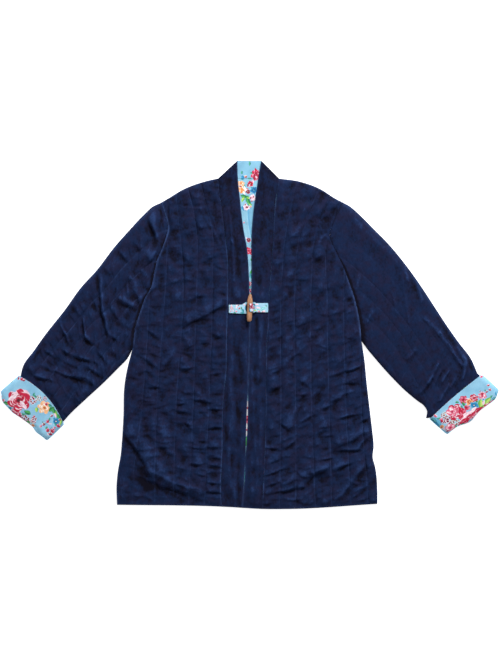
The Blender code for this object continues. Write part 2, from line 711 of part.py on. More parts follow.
def sleeve(name, side):
    """One sleeve as a flat tube, quilted along its length, whose end lies in the cuff."""
    steps = [(k + step) * SLEEVE_PITCH for k in range(SLEEVE_CHANNELS) for step in CHANNEL_STEPS]
    levels = np.linspace(0.0, 1.0, SLEEVE_ROWS)[:, None]
    over = np.repeat(np.array([steps]), SLEEVE_ROWS, axis=0)
    width = sleeve_plan(side, np.full_like(levels, FAR), levels)[1]
    under = width * np.array(SLEEVE_UNDER_STEPS)

    lift = ramp((levels - SLEEVE_CLIMBS[0]) / (SLEEVE_CLIMBS[1] - SLEEVE_CLIMBS[0]))
    flat = ramp((levels - SLEEVE_FLATTENS[0]) / (SLEEVE_FLATTENS[1] - SLEEVE_FLATTENS[0]))
    middle = SLEEVE_MIDDLE + (CUFF_MIDDLE - SLEEVE_MIDDLE) * lift
    roof = OVER_LINING + (TURN_IN[0] + GAP - OVER_LINING) * lift
    wall = FRONT_WALL + (SLEEVE_WALL - GAP - FRONT_WALL) * lift

    plan, from_top, from_under = sleeve_plan(side, over, levels)
    reach = np.minimum(from_top, from_under)
    ridges, troughs = fold_heights(side.sleeve_folds, plan[..., 0], plan[..., 1])
    roof = roof + ridges * ramp(reach / FOLD_EDGE) * ramp(levels / FOLD_HEAD) * (1 - flat)
    puff = SLEEVE_PUFF * padding((over / SLEEVE_PITCH) % 1.0) + troughs
    puff = np.maximum(puff, 0.0) * (1 - flat) * ramp(levels / HEAD_PINCH)
    high = middle + (roof + wall + puff - middle) * rounding(reach, SLEEVE_ROUND)

    low_plan, from_top, from_under = sleeve_plan(side, under, levels)
    reach = np.minimum(from_top, from_under)
    low = middle + (CUFF_LIFT * lift - middle) * rounding(reach, SLEEVE_ROUND)
    outer = np.concatenate([placed(plan, high), placed(low_plan, low)], axis=1)

    share = share_across(np.concatenate([over, under], axis=1), width)
    inside = sleeve_plan(side, SLEEVE_WALL + (width - 2 * SLEEVE_WALL) * share, levels)[0]
    floor = np.repeat(SLEEVE_WALL + CUFF_LIFT * lift, len(SLEEVE_UNDER_STEPS), axis=1)
    reach = rounding(np.minimum(share, 1 - share) * width, SLEEVE_ROUND)
    height = middle + (np.concatenate([roof, floor], axis=1) - middle) * reach
    return ring_piece(name, np.concatenate([outer, placed(inside, height)[::-1]]), VELVET)


def toggle():
    """A turned wooden spindle of oval section, with a slot through its middle for the tab."""
    angle = np.linspace(0.0, 2 * np.pi, TOGGLE_SIDES, endpoint=False)
    centre = TOGGLE_UNDERSIDE + TOGGLE_HEIGHT / 2
    rings = []
    for ring in TOGGLE_PROFILE:
        across = TOGGLE_MIDDLE.across + TOGGLE_WIDTH / 2 * ring.radius * np.cos(angle)
        down = np.full_like(angle, TOGGLE_MIDDLE.down + TOGGLE_LENGTH * (ring.share - 0.5))
        height = centre + TOGGLE_HEIGHT / 2 * ring.radius * np.sin(angle)
        rings.append(placed(np.stack([across, down], axis=-1), height))
    rings = np.array(rings)
    faces = [
        (r * TOGGLE_SIDES + c, r * TOGGLE_SIDES + (c + 1) % TOGGLE_SIDES,
         (r + 1) * TOGGLE_SIDES + (c + 1) % TOGGLE_SIDES, (r + 1) * TOGGLE_SIDES + c)
        for r in range(len(rings) - 1) for c in range(TOGGLE_SIDES)
    ]  # fmt: skip
    faces.append(tuple(range(TOGGLE_SIDES))[::-1])
    faces.append(tuple((len(rings) - 1) * TOGGLE_SIDES + k for k in range(TOGGLE_SIDES)))
    piece = new_piece("toggle", rings.reshape(-1, 3), faces, WOOD)
    bpy.ops.mesh.primitive_cube_add(size=1.0)
    slot = bpy.context.object
    slot.name = "slot cutter"
    slot.scale = (SLOT_WIDTH * MM, SLOT_LENGTH * MM, 2 * TOGGLE_HEIGHT * MM)
    slot.location = (TOGGLE_MIDDLE.across * MM, -TOGGLE_MIDDLE.down * MM, centre * MM)
    slot.hide_render = True
    slot.display_type = "WIRE"
    slot.parent = piece
    cut = piece.modifiers.new("slot", "BOOLEAN")
    cut.operation = "DIFFERENCE"
    cut.solver = "EXACT"
    cut.object = slot
    return piece


def band_top(side, across):
    """A band's upper face beside the toggle, level past its last crest towards the slit."""
    seam = across_at(side.seam, TOGGLE_MIDDLE.down)
    free = across_at(side.free, TOGGLE_MIDDLE.down)
    w = np.clip((across - seam) / (free - seam), 0.0, BAND_STEPS[-2])
    heights = band_heights(np.array(BAND_STEPS), TOGGLE_MIDDLE.across, TOGGLE_MIDDLE.down)[1]
    return np.interp(w, BAND_STEPS, heights)


def toggle_tab():
    """A strap on the right band. It goes through the toggle's slot, over its right half and back."""
    top = TOGGLE_UNDERSIDE + TOGGLE_HEIGHT
    half = STRAP_THICK / 2
    ground = band_top(RIGHT, TOGGLE_MIDDLE.across + TAB_NECK) + TAB_CLEAR
    under = ground + GAP + half
    over = under + STRAP_THICK + GAP
    route = [
        Strap(TAB_END, under - TAB_DROP, 9.9),
        Strap(28.0, under, 9.9),
        Strap(19.0, under, 9.9),
        Strap(TAB_NECK, under, 7.9),
        Strap(10.6, under, 7.6),
        Strap(5.5, TOGGLE_UNDERSIDE - GAP - half - 0.25, 8.4),
        Strap(1.4, TOGGLE_UNDERSIDE - GAP - half - 0.25, 8.6),
        Strap(0.0, TOGGLE_UNDERSIDE + 0.6, 8.6),
        Strap(0.0, TOGGLE_UNDERSIDE + TOGGLE_HEIGHT / 2, 8.6),
        Strap(0.0, top - 0.3, 8.6),
        Strap(1.2, top + GAP + half + 0.1, 8.6),
        Strap(4.0, top - 0.1, 8.6),
        Strap(6.4, top - 2.2, 8.6),
        Strap(7.4, TOGGLE_UNDERSIDE + TOGGLE_HEIGHT / 2, 8.4),
        Strap(8.3, TOGGLE_UNDERSIDE + 1.4, 7.9),
        Strap(9.3, over + 0.3, 7.6),
        Strap(10.6, over, 7.6),
        Strap(TAB_NECK, over, 7.9),
        Strap(19.0, over, 9.9),
        Strap(28.0, over, 9.9),
        Strap(TAB_END, over - TAB_DROP, 9.9),
    ]
    path = np.array([(strap.along, strap.height) for strap in route])
    run = np.roll(path, -1, axis=0) - np.roll(path, 1, axis=0)
    out = np.stack([-run[:, 1], run[:, 0]], axis=-1) / np.hypot(run[:, 0], run[:, 1])[:, None]
    rings = []
    for place, normal, strap in zip(path, out, route):
        corners = []
        for offset, edge in ((half, 1), (half, -1), (-half, -1), (-half, 1)):
            along, height = place + normal * offset
            across = TOGGLE_MIDDLE.across + along
            corners.append((across, TOGGLE_MIDDLE.down + edge * strap.half_width, height))
        corners = np.array(corners)
        rings.append(placed(corners[:, :2], corners[:, 2]))
    return ring_piece("toggle_tab", np.array(rings), PRINT)


def rounded_square(degrees, half_length, half_width):
    """Points of an outline whose two shares, each to the same power, add up to one."""
    along, beside = np.cos(np.radians(degrees)), -np.sin(np.radians(degrees))
    total = np.abs(along) ** LOOP_SQUARENESS + np.abs(beside) ** LOOP_SQUARENESS
    reach = total ** (-1 / LOOP_SQUARENESS)
    return np.stack([half_length * reach * along, half_width * reach * beside], axis=-1)


def toggle_loop():
    """A strip on the left band that ends in a loop. The loop lies round the toggle's tab."""
    middle = (LOOP_SPLIT + LOOP_FAR) / 2
    reach = (LOOP_FAR - LOOP_SPLIT) / 2
    right = np.linspace(LOOP_ARC, -LOOP_ARC, LOOP_POINTS)
    left = np.linspace(-LOOP_ARC, LOOP_ARC - 360.0, LOOP_BACK_POINTS)[1:-1]
    arc = rounded_square(right, reach, LOOP_RING_HALF)
    hole = rounded_square(np.append(right, left), reach - LOOP_STRAND, LOOP_RING_HALF - LOOP_STRAND)
    lower = np.array([(place - middle, LOOP_STRIP_HALF) for place in LOOP_STRIP])
    flat = np.concatenate([arc, lower, lower[::-1] * (1, -1), hole]) + (middle, 0.0)
    count = len(arc)
    last = count + 2 * len(lower) - 1
    inside = last + 1
    faces = [(k, k + 1, inside + k + 1, inside + k) for k in range(count - 1)]
    faces += [(count + k, count + k + 1, last - k - 1, last - k) for k in range(len(lower) - 1)]
    fork = [count, last, 0, inside]
    fork += [inside + k for k in range(len(hole) - 1, count - 2, -1)] + [count - 1]
    outline = [Vector((*flat[k], 0.0)) for k in fork]
    faces += [tuple(fork[k] for k in triangle) for triangle in tessellate_polygon([outline])]
    return plate_piece("toggle_loop", flat, faces, (inside, len(hole)), PRINT)


def loop_underside(along):
    """The loop lies on the band, passes under the toggle and climbs over the tab at its far end."""
    low = band_top(LEFT, TOGGLE_MIDDLE.across + along) + GAP
    climb = ramp((along - LOOP_CLIMB[0]) / (LOOP_CLIMB[1] - LOOP_CLIMB[0]))
    return low + (LOOP_OVER - low) * climb


def plate_piece(name, flat, faces, rims, finish):
    """A thin plate on the left band: its faces in plan, and the number of points round each rim."""
    plan = flat + (TOGGLE_MIDDLE.across, TOGGLE_MIDDLE.down)
    low = loop_underside(flat[:, 0])
    places = np.concatenate([placed(plan, low + LOOP_THICK), placed(plan, low)])
    count = len(flat)
    faces = faces + [tuple(k + count for k in face[::-1]) for face in faces]
    first = 0
    for size in rims:
        for k in range(size):
            a, b = first + k, first + (k + 1) % size
            faces.append((a, b, b + count, a + count))
        first += size
    return new_piece(name, places, faces, finish)


def centre(pieces):
    """Moves the meshes so that the origin is under the middle of the whole jacket."""
    places = np.array([vertex.co for piece in pieces for vertex in piece.data.vertices])
    low, high = places.min(axis=0), places.max(axis=0)
    shift = -(low + high) / 2
    shift[2] = -low[2]
    for piece in pieces:
        for vertex in piece.data.vertices:
            vertex.co = vertex.co + type(vertex.co)(shift)
        for cutter in piece.children:
            cutter.location = cutter.location + type(cutter.location)(shift)


def main():
    for thing in list(bpy.data.objects):
        bpy.data.objects.remove(thing)
    pieces = [back(), lining_back(), band_back()]
    for word, side in (("left", LEFT), ("right", RIGHT)):
        pieces.append(front(f"front_{word}", side))
        pieces.append(band(f"band_{word}", side))
        pieces.append(sleeve(f"sleeve_{word}", side))
        pieces.append(cuff(f"cuff_{word}", side))
    pieces += [toggle(), toggle_tab(), toggle_loop()]
    centre(pieces)


main()
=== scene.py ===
"""The looks of a padded, quilted velvet jacket that lies flat with its front up.

Plans are in millimetres on the cloth: across runs to the right of the middle of the neck, and
down from the top edge of the collar towards the hem. Heights are above the surface that the
jacket lies on. Each piece is a closed wall worked out on a grid and stands for one solid.
"""

import logging
import math
from collections.abc import Iterable
from dataclasses import dataclass, field
from enum import Enum

import bmesh
import bpy
import numpy as np
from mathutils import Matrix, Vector


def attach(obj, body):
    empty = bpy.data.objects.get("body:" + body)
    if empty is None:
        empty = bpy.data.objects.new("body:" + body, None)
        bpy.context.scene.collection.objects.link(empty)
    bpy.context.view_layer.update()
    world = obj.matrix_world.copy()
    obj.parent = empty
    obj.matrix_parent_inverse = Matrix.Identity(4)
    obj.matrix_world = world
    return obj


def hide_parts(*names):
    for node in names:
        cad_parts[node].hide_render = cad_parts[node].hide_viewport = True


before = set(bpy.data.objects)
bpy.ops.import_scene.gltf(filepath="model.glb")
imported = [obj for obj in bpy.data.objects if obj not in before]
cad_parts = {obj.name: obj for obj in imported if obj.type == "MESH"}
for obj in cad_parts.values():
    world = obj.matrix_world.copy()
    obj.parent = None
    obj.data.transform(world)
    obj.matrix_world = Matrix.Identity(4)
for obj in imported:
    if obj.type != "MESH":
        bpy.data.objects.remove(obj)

log = logging.getLogger("jacket")

Array = np.ndarray
Colour = tuple[float, float, float]
Pairs = tuple[tuple[float, float], ...]
Object = bpy.types.Object
Material = bpy.types.Material
Socket = bpy.types.NodeSocket

MM = 0.001
SHIFT = (-1.5, 373.1)  # from the cloth's plan to the frame: added to across, and down is taken off
GAP = 0.3  # between pieces, at seams and where one lies on another
BACK_TOP = 4.5
LINING_TOP = 5.8
OVER_LINING = 6.1  # underside of the fronts and bands over the lining
EDGE_LOW = 4.8  # underside of the fronts along their outer edges
DIP = 20.0  # how far in from an edge the underside reaches its full height
WALL = 2.2
PINCH = 13.0  # how far in from an edge the padding reaches its full height
TOGGLE_DOWN = 315.0
AWAY_FROM_LIGHT = np.array([-0.28, 0.96])


def smooth_through(places: Array, values: Array, at: Array) -> Array:
    """A cubic curve through the values, whose slope at each place is the mean slope there.

    Args:
        places: where the values are, rising.
        values: the values.
        at: where the curve is wanted.

    Returns:
        The curve's values.
    """
    slopes = np.gradient(values, places)
    cell = np.clip(np.searchsorted(places, at, side="right") - 1, 0, len(places) - 2)
    width = places[cell + 1] - places[cell]
    u = np.clip((at - places[cell]) / width, 0.0, 1.0)
    rest = 1.0 - u
    start = values[cell] * (1 + 2 * u) * rest**2 + slopes[cell] * width * u * rest**2
    end = values[cell + 1] * (3 - 2 * u) * u**2 - slopes[cell + 1] * width * u**2 * rest
    return start + end


def ramp(value: Array) -> Array:
    """From 0 to 1, slow at both ends: 3 v squared less 2 v cubed."""
    value = np.clip(value, 0.0, 1.0)
    return value * value * (3.0 - 2.0 * value)


def between(start: Array, stop: Array, share: Array) -> Array:
    """From start to stop in a straight run: start and a share of the way."""
    return start + (stop - start) * share


def points(across: Array, down: Array) -> Array:
    """Points as (across, down)."""
    return np.stack([across, down], axis=-1)


def rounding(distance: Array, reach: float) -> Array:
    """A quarter circle that rises from an edge: 0 on the edge and 1 from reach inwards."""
    return np.sqrt(1.0 - (1.0 - np.clip(distance / reach, 0.0, 1.0)) ** 2)


def padding(share: Array) -> Array:
    """Height of the padding across a channel: the sine of half a turn, to the power 0.6."""
    return np.sin(np.pi * np.clip(share, 0.0, 1.0)) ** 0.6


def eased(count: int) -> Array:
    """Shares from 0 to 1, closer at both ends: half of 1 less the cosine of even angles."""
    return 0.5 - 0.5 * np.cos(np.pi * np.linspace(0.0, 1.0, count))


@dataclass(frozen=True)
class Line:
    """A line of the cutting pattern through (down, across) places."""

    places: Pairs

    def columns(self) -> tuple[Array, Array]:
        """The places as an array of down and one of across."""
        table = np.array(self.places, float)
        return table[:, 0], table[:, 1]

    def across(self, down: Array) -> Array:
        """Across, on a line that runs down the jacket."""
        downs, acrosses = self.columns()
        return smooth_through(downs, acrosses, down)

    def down(self, across: Array) -> Array:
        """Down, on a line that runs across the jacket."""
        downs, acrosses = self.columns()
        return smooth_through(acrosses, downs, across)

    def span(self, share: Array) -> Array:
        """Down, at a share of the way from the first place to the last."""
        return between(self.places[0][0], self.places[-1][0], share)

    def at(self, share: Array, straight: bool = False) -> Array:
        """The point at a share of the line's length.

        Args:
            share: 0 at the first place and 1 at the last.
            straight: whether the places are joined by straight runs.

        Returns:
            The points as (across, down).
        """
        downs, acrosses = self.columns()
        lengths = np.append(0.0, np.cumsum(np.hypot(np.diff(downs), np.diff(acrosses))))
        at = np.clip(share, 0.0, 1.0) * lengths[-1]
        if straight:
            both = [np.interp(at, lengths, acrosses), np.interp(at, lengths, downs)]
        else:
            both = [smooth_through(lengths, values, at) for values in (acrosses, downs)]
        return np.stack(both, axis=-1)


@dataclass(frozen=True)
class Crease:
    """A ridge, or a trough where the height is below nought, along a straight run."""

    down: float
    across: float
    to_down: float
    to_across: float
    width: float
    height: float


def crease_table(*rows: tuple) -> tuple[Crease, ...]:
    """Creases from rows of from down and across, to down and across, width and height."""
    return tuple(Crease(*row) for row in rows)


def relief(creases: Iterable[Crease], across: Array, down: Array) -> Array:
    """Sum of the creases.

    A ridge is the bell exp(-b squared), where b is the distance beside the run over the width.
    A trough is a tuck: on the side of the light the cloth rises slowly to the run, there it
    drops within a few millimetres, and beyond it rises slowly again. Past its ends a crease
    fades as a bell.

    Args:
        creases: the creases of one piece.
        across: the points' places across.
        down: the points' places down.

    Returns:
        The height at each point.
    """
    total = np.zeros_like(across)
    bent = across + 0.9 * rumples(across, down, 71), down + 0.9 * rumples(across, down, 72)
    for crease in creases:
        run = np.array([crease.to_across - crease.across, crease.to_down - crease.down])
        length = np.hypot(*run)
        run = run / length
        middle = (crease.across + crease.to_across) / 2, (crease.down + crease.to_down) / 2
        reach = length / 2 + 6 * crease.width
        near = (np.abs(across - middle[0]) < reach) & (np.abs(down - middle[1]) < reach)
        right, below = bent[0][near] - crease.across, bent[1][near] - crease.down
        along = right * run[0] + below * run[1]
        shaded = np.array([-run[1], run[0]])
        shaded = shaded * np.sign(shaded @ AWAY_FROM_LIGHT)
        beside = right * shaded[0] + below * shaded[1]
        beyond = np.maximum(0.0, np.maximum(-along, along - length)) / crease.width
        if crease.height > 0:
            profile = np.exp(-((beside / crease.width) ** 2))
        else:
            past = 1 / (1 + np.exp(-beside / (0.3 * crease.width)))
            rise = 0.6 * np.exp(-np.abs(beside) / (1.9 * crease.width)) * (1 - past)
            fall = 0.9 * np.exp(-np.abs(beside) / (1.7 * crease.width)) * past
            ends = np.sin(np.pi * np.clip(along / length, 0.12, 0.88))
            profile = (fall - rise) * (0.3 + 0.8 * ends)
        total[near] += crease.height * profile * np.exp(-0.7 * beyond**2)
    return total


def rumples(across: Array, down: Array, seed: int, slope: float = 0.016) -> Array:
    """Soft unevenness of the padding: a sum of 40 waves in all directions, 14 to 90 mm long.

    Args:
        across: the points' places across.
        down: the points' places down.
        seed: picks the waves.
        slope: height of each wave over its length.

    Returns:
        The height at each point.
    """
    chance = np.random.default_rng(seed)
    total = np.zeros_like(across)
    for length in np.geomspace(14.0, 90.0, 40):
        turn, phase = chance.uniform(0.0, np.pi), chance.uniform(0.0, 2 * np.pi)
        place = across * np.cos(turn) + down * np.sin(turn)
        total += slope * length * 0.28 * np.sin(2 * np.pi * place / length + phase)
    return total


def channel_height(edge: Array, share: Array) -> Array:
    """Height at a distance from the nearer line: a low crown, with narrow dips at the stitching."""
    return 0.5 * np.sin(np.pi * np.clip(share, 0.0, 1.0)) + 0.5 * (1 - np.exp(-edge / 2.4))


def stitched(column: Array, pitch: float, sign: float, along: Array) -> Array:
    """Painted light and shade beside a quilting line: painted highlight on its left and painted shade
    on its right.

    It comes and goes along the line: the strength is a product of two slow sines over a floor.

    Args:
        column: number of the channel, with the share of the way across it.
        pitch: the channel's width in millimetres.
        sign: 1 where the columns run to the right, and -1 where they run to the left.
        along: place along the line in millimetres.

    Returns:
        The rubbing, below nought where the pile is dark.
    """
    line = np.round(column)
    beside = (column - line) * pitch * sign
    strength = 0.6 + 0.5 * np.sin(along / 19.0 + 3 * line) * np.sin(along / 47.0 + 1.7 * line)
    return strength * (0.34 * thread(beside + 0.5, 1.1) - 0.42 * thread(beside - 1.5, 1.3))


def thread(distance: Array, reach: float = 1.7) -> Array:
    """A bell of the distance to a line: how strongly painted light or painted shade falls along it."""
    return np.exp(-((distance / reach) ** 2))


def swell(down: Array, column: Array, seed: int) -> Array:
    """Uneven fullness along the channels: a sum of three slow sines with their own phases.

    Args:
        down: place along the channel.
        column: which channel each point is in, with its share across.
        seed: picks the phases.

    Returns:
        A factor about 1 for the height of the padding.
    """
    chance = np.random.default_rng(seed)
    phases = chance.uniform(0.0, 2 * np.pi, (3, 12))
    channel = np.clip(column.astype(int), 0, 11)
    waves = ((0.16, 173.0), (0.12, 97.0), (0.10, 51.0))
    total = np.ones_like(down)
    for (height, length), phase in zip(waves, phases):
        total = total + height * np.sin(2 * np.pi * down / length + phase[channel])
    return total


def puckers(lines: list[Line], seed: int, spacing: float, tilt: float) -> list[Crease]:
    """Small gathers that start at the quilting lines and run out across the channels.

    Args:
        lines: the quilting lines.
        seed: picks their places and sizes.
        spacing: mean distance between two of them, in millimetres.
        tilt: how far a gather climbs for each millimetre to the right, at the mean.

    Returns:
        The gathers as creases.
    """
    chance = np.random.default_rng(seed)
    found = []
    for line in lines:
        first, last = line.places[0][0], line.places[-1][0]
        for side in (-1, 1):
            down = first + chance.uniform(4.0, spacing)
            while down < last - 6.0:
                reach = chance.uniform(8.0, 24.0) * side
                start = float(line.across(np.array(down))) + side * 1.5
                drop = -reach * (tilt + chance.normal(0.0, 0.26))
                size = chance.uniform(0.5, 2.1) * (0.6 + 0.8 * down / 741.0)
                found.append(
                    Crease(down, start, down + drop, start + reach, chance.uniform(3.0, 5.6), -size)
                )
                down += spacing * chance.uniform(0.45, 1.7)
    return found


def patch(edges: tuple, s: Array, t: Array) -> Array:
    """A surface between four lines: the mean of the two rulings less that of the corners.

    Args:
        edges: functions for the lines at t 0, at t 1, at s 0 and at s 1.
        s: share from the first side to the second.
        t: share from the head to the end.

    Returns:
        The points as (across, down).
    """
    head, end, first, second = edges
    s, t = s[..., None], t[..., None]
    nought, one = np.zeros(1), np.ones(1)
    corners = (1 - t) * ((1 - s) * head(nought) + s * head(one))
    corners = corners + t * ((1 - s) * end(nought) + s * end(one))
    lengthwise = (1 - t) * head(s[..., 0]) + t * end(s[..., 0])
    crosswise = (1 - s) * first(t[..., 0]) + s * second(t[..., 0])
    return lengthwise + crosswise - corners


def placed(plan: Array, height: Array) -> Array:
    """Places in the frame, in metres: across is X, down is -Y and height is Z."""
    across, down = plan[..., 0] + SHIFT[0], SHIFT[1] - plan[..., 1]
    return np.stack([across, down, np.broadcast_to(height, across.shape)], axis=-1) * MM


def softened(values: Array, times: int) -> Array:
    """Evens out a grid: a third of each value, and a sixth of each of its four neighbours.

    Args:
        values: the values by row and column.
        times: how many times over.

    Returns:
        The values evened out.
    """
    for _ in range(times):
        padded = np.pad(values, 1, mode="edge")
        around = padded[:-2, 1:-1] + padded[2:, 1:-1] + padded[1:-1, :-2] + padded[1:-1, 2:]
        values = (values * 2 + around) / 6
    return values


def cloth_mesh(
    name: str,
    grid: Array,
    uv: Array | None = None,
    pile: dict | None = None,
    ring: bool = False,
) -> Object:
    """A closed mesh from rows of points, each row running all round the piece's section.

    Args:
        name: the object's name.
        grid: points in metres, by row and column. The last column joins the first.
        uv: place on the cloth in millimetres for each row and column, with a column more than
            the grid, and a row more for a ring.
        pile: values at the points that shade the velvet, by name.
        ring: whether the last row joins the first. If not, the two ends are closed by faces
            between the first half of the columns and the second.

    Returns:
        The object, linked to the scene.
    """
    rows, columns = grid.shape[:2]
    r, c = np.meshgrid(np.arange(rows if ring else rows - 1), np.arange(columns), indexing="ij")
    r, c = r.ravel(), c.ravel()
    below, right = (r + 1) % rows, (c + 1) % columns
    corners = [(r, c), (r, right), (below, right), (below, c)]
    faces = np.stack([row * columns + column for row, column in corners], axis=1)
    places = [(r, c), (r, c + 1), (r + 1, c + 1), (r + 1, c)]
    if not ring:
        k = np.arange(columns // 2 - 1)
        for row in (0, rows - 1):
            cap = [(row, k), (row, k + 1), (row, columns - 2 - k), (row, columns - 1 - k)]
            cap = cap if row else cap[::-1]
            faces = np.concatenate([faces, np.stack([a * columns + b for a, b in cap], axis=1)])
            places = [
                (np.append(old[0], np.full_like(k, new[0])), np.append(old[1], new[1]))
                for old, new in zip(places, cap)
            ]
    mesh = bpy.data.meshes.new(name)
    mesh.from_pydata(grid.reshape(-1, 3), [], faces)
    if uv is not None:
        spots = np.stack([uv[row, column] for row, column in places], axis=1)
        mesh.uv_layers.new(name="cloth").uv.foreach_set("vector", spots.astype(np.float32).ravel())
    for key, value in (pile or {}).items():
        shade = mesh.attributes.new(key, "FLOAT", "POINT")
        shade.data.foreach_set("value", value.astype(np.float32).ravel())
    work = bmesh.new()
    work.from_mesh(mesh)
    bmesh.ops.remove_doubles(work, verts=work.verts[:], dist=0.004 * MM)
    bmesh.ops.dissolve_degenerate(work, edges=work.edges[:], dist=0.002 * MM)
    bmesh.ops.recalc_face_normals(work, faces=work.faces[:])
    work.to_mesh(mesh)
    work.free()
    mesh.shade_smooth()
    mesh.set_sharp_from_angle(angle=math.radians(50.0))
    piece = bpy.data.objects.new(name, mesh)
    bpy.context.collection.objects.link(piece)
    return piece


# ---------------------------------------------------------------- cutting pattern

HEM = Line(((737, -283), (741, -58), (746, 28), (746, 86), (735, 275)))


@dataclass(frozen=True)
class CuffPattern:
    """Corners of a turned-up cuff as (down, across), and how far its two ends are bowed.

    end_bows has (share, bow) places along the folded end.
    """

    free_top: tuple[float, float]
    free_under: tuple[float, float]
    end_top: tuple[float, float]
    end_under: tuple[float, float]
    free_bulge: float
    end_bows: Pairs

    def width(self) -> float:
        """Length of the folded end."""
        return math.dist(self.end_top, self.end_under)

    def depth(self) -> float:
        """From the free edge to the folded end."""
        return math.dist(self.free_top, self.end_top)

    def straight(self, first: tuple, second: tuple, share: Array, bow: Array) -> Array:
        """Places from one corner to another, bowed to the left of the run.

        Args:
            first: the corner at share 0.
            second: the corner at share 1.
            share: where on the line.
            bow: how far each place is bowed.

        Returns:
            The points as (across, down).
        """
        start = np.array([first[1], first[0]], float)
        run = np.array([second[1], second[0]], float) - start
        beside = np.array([-run[1], run[0]]) / np.hypot(*run)
        return start + run * share[..., None] + beside * (bow + 0 * share)[..., None]

    def plan(self, s: Array, t: Array) -> Array:
        """A point of the cuff.

        Args:
            s: share from its upper side to its lower.
            t: share from the free edge to the fold.

        Returns:
            The points as (across, down).
        """
        out = np.sign(-self.free_top[1])
        shares, bows = np.array(self.end_bows).T

        def free_edge(share: Array) -> Array:
            """A point of the free edge, bowed along a parabola."""
            bow = -self.free_bulge * out * 4 * share * (1 - share)
            return self.straight(self.free_top, self.free_under, share, bow)

        def folded_end(share: Array) -> Array:
            """A point of the folded end."""
            bow = out * np.interp(share, shares, bows)
            return self.straight(self.end_top, self.end_under, share, bow)

        edges = (
            free_edge,
            folded_end,
            lambda share: self.straight(self.free_top, self.end_top, share, 0.0),
            lambda share: self.straight(self.free_under, self.end_under, share, 0.0),
        )
        return patch(edges, s, t)


@dataclass(frozen=True)
class SidePattern:
    """Everything cut for one side of the jacket."""

    shoulder: Line
    armhole: Line
    edge: Line
    seam: Line
    free: Line
    quilting: tuple[Line, ...]
    sleeve_top: Line
    sleeve_under: Line
    cuff: CuffPattern

    def sign(self) -> float:
        """-1 for the left side and 1 for the right."""
        return float(np.sign(self.armhole.places[0][1]))

    def outer(self, down: Array) -> Array:
        """Across, on the armhole and then on the side seam."""
        beside = self.edge.across(down)
        return np.where(down < self.edge.places[0][0], self.armhole.across(down), beside)

    def outline_distance(self, across: Array, down: Array) -> Array:
        """The least distance to the shoulder, the side seam and the hem.

        Args:
            across: the points' places across.
            down: the points' places down.

        Returns:
            How far each point lies inside them.
        """
        under_down, under_across = self.edge.places[0]
        beside = np.abs(across - self.edge.across(down))
        to_underarm = np.hypot(across - under_across, down - under_down)
        from_side = np.where(down > under_down, beside, to_underarm)
        from_hem = HEM.down(across) - down
        return np.minimum(np.minimum(from_side, down - self.shoulder.down(across)), from_hem)


LEFT = SidePattern(
    shoulder=Line(((90, -189), (80, -172), (62, -142), (45, -97), (37.5, -65.5))),
    armhole=Line((
        (90, -189), (120, -179), (142, -174), (178, -183), (213, -197), (245, -204),
        (271, -210), (292, -222), (322, -233), (350, -242), (404, -250),
    )),
    edge=Line((
        (404, -250), (441, -260), (482, -267), (544, -269), (596, -272), (630, -275),
        (664, -281), (699, -284), (737, -283),
    )),
    seam=Line((
        (37.5, -65.5), (65, -63), (135, -54), (202, -46), (284, -45), (385, -47), (447, -48),
        (492, -53), (559, -56), (626, -57), (694, -60), (741, -58),
    )),
    free=Line((
        (0, -25), (37, -24), (86, -19), (146, -12), (191, -4), (230, -1), (284, 1), (344, 1.35),
        (406, 0.23), (470, -1.77), (496, -2.55), (512, -3.55), (530, -4.5), (558, -5.4), (587, -6.4),
        (606, -6.95), (626, -7.5), (650, -8.47), (668, -9.65), (684, -10.4), (700, -11.1),
        (743, -14.67),
    )),
    quilting=(
        Line(((42, -104), (103, -89), (148, -78), (228, -77), (559, -87), (741, -95))),
        Line(((52, -132), (114, -117), (202, -109), (228, -110), (559, -120), (741, -129))),
        Line(((73, -156), (228, -141), (559, -157), (741, -161))),
        Line(((90, -172), (228, -176), (559, -198), (741, -201))),
        Line(((90, -200), (277, -211), (559, -232), (654, -245), (741, -249))),
    ),
    sleeve_top=Line((
        (90, -189), (97.5, -205.5), (115, -225), (149, -257), (184, -288), (235, -327), (270, -359),
        (321, -396), (373, -437), (407, -461), (441.5, -484.5), (456, -488),
    )),
    sleeve_under=Line((
        (404, -250), (424, -261), (442.5, -278.5), (476.5, -312.5), (511.5, -350.5),
        (545, -385.5), (556.5, -395.5),
    )),
    cuff=CuffPattern((460, -493), (565, -396), (494, -533), (600, -432.5), 14, (
        (0, 0), (0.05, 2.5), (0.1, 8.5), (0.15, 11.4), (0.22, 11.5), (0.35, 11.3), (0.42, 9),
        (0.5, 6.3), (0.6, 3.4), (0.7, 1.2), (0.75, 2.6), (0.8, 3.6), (0.86, 2), (0.93, 0.3), (1, 0),
    )),
)  # fmt: skip
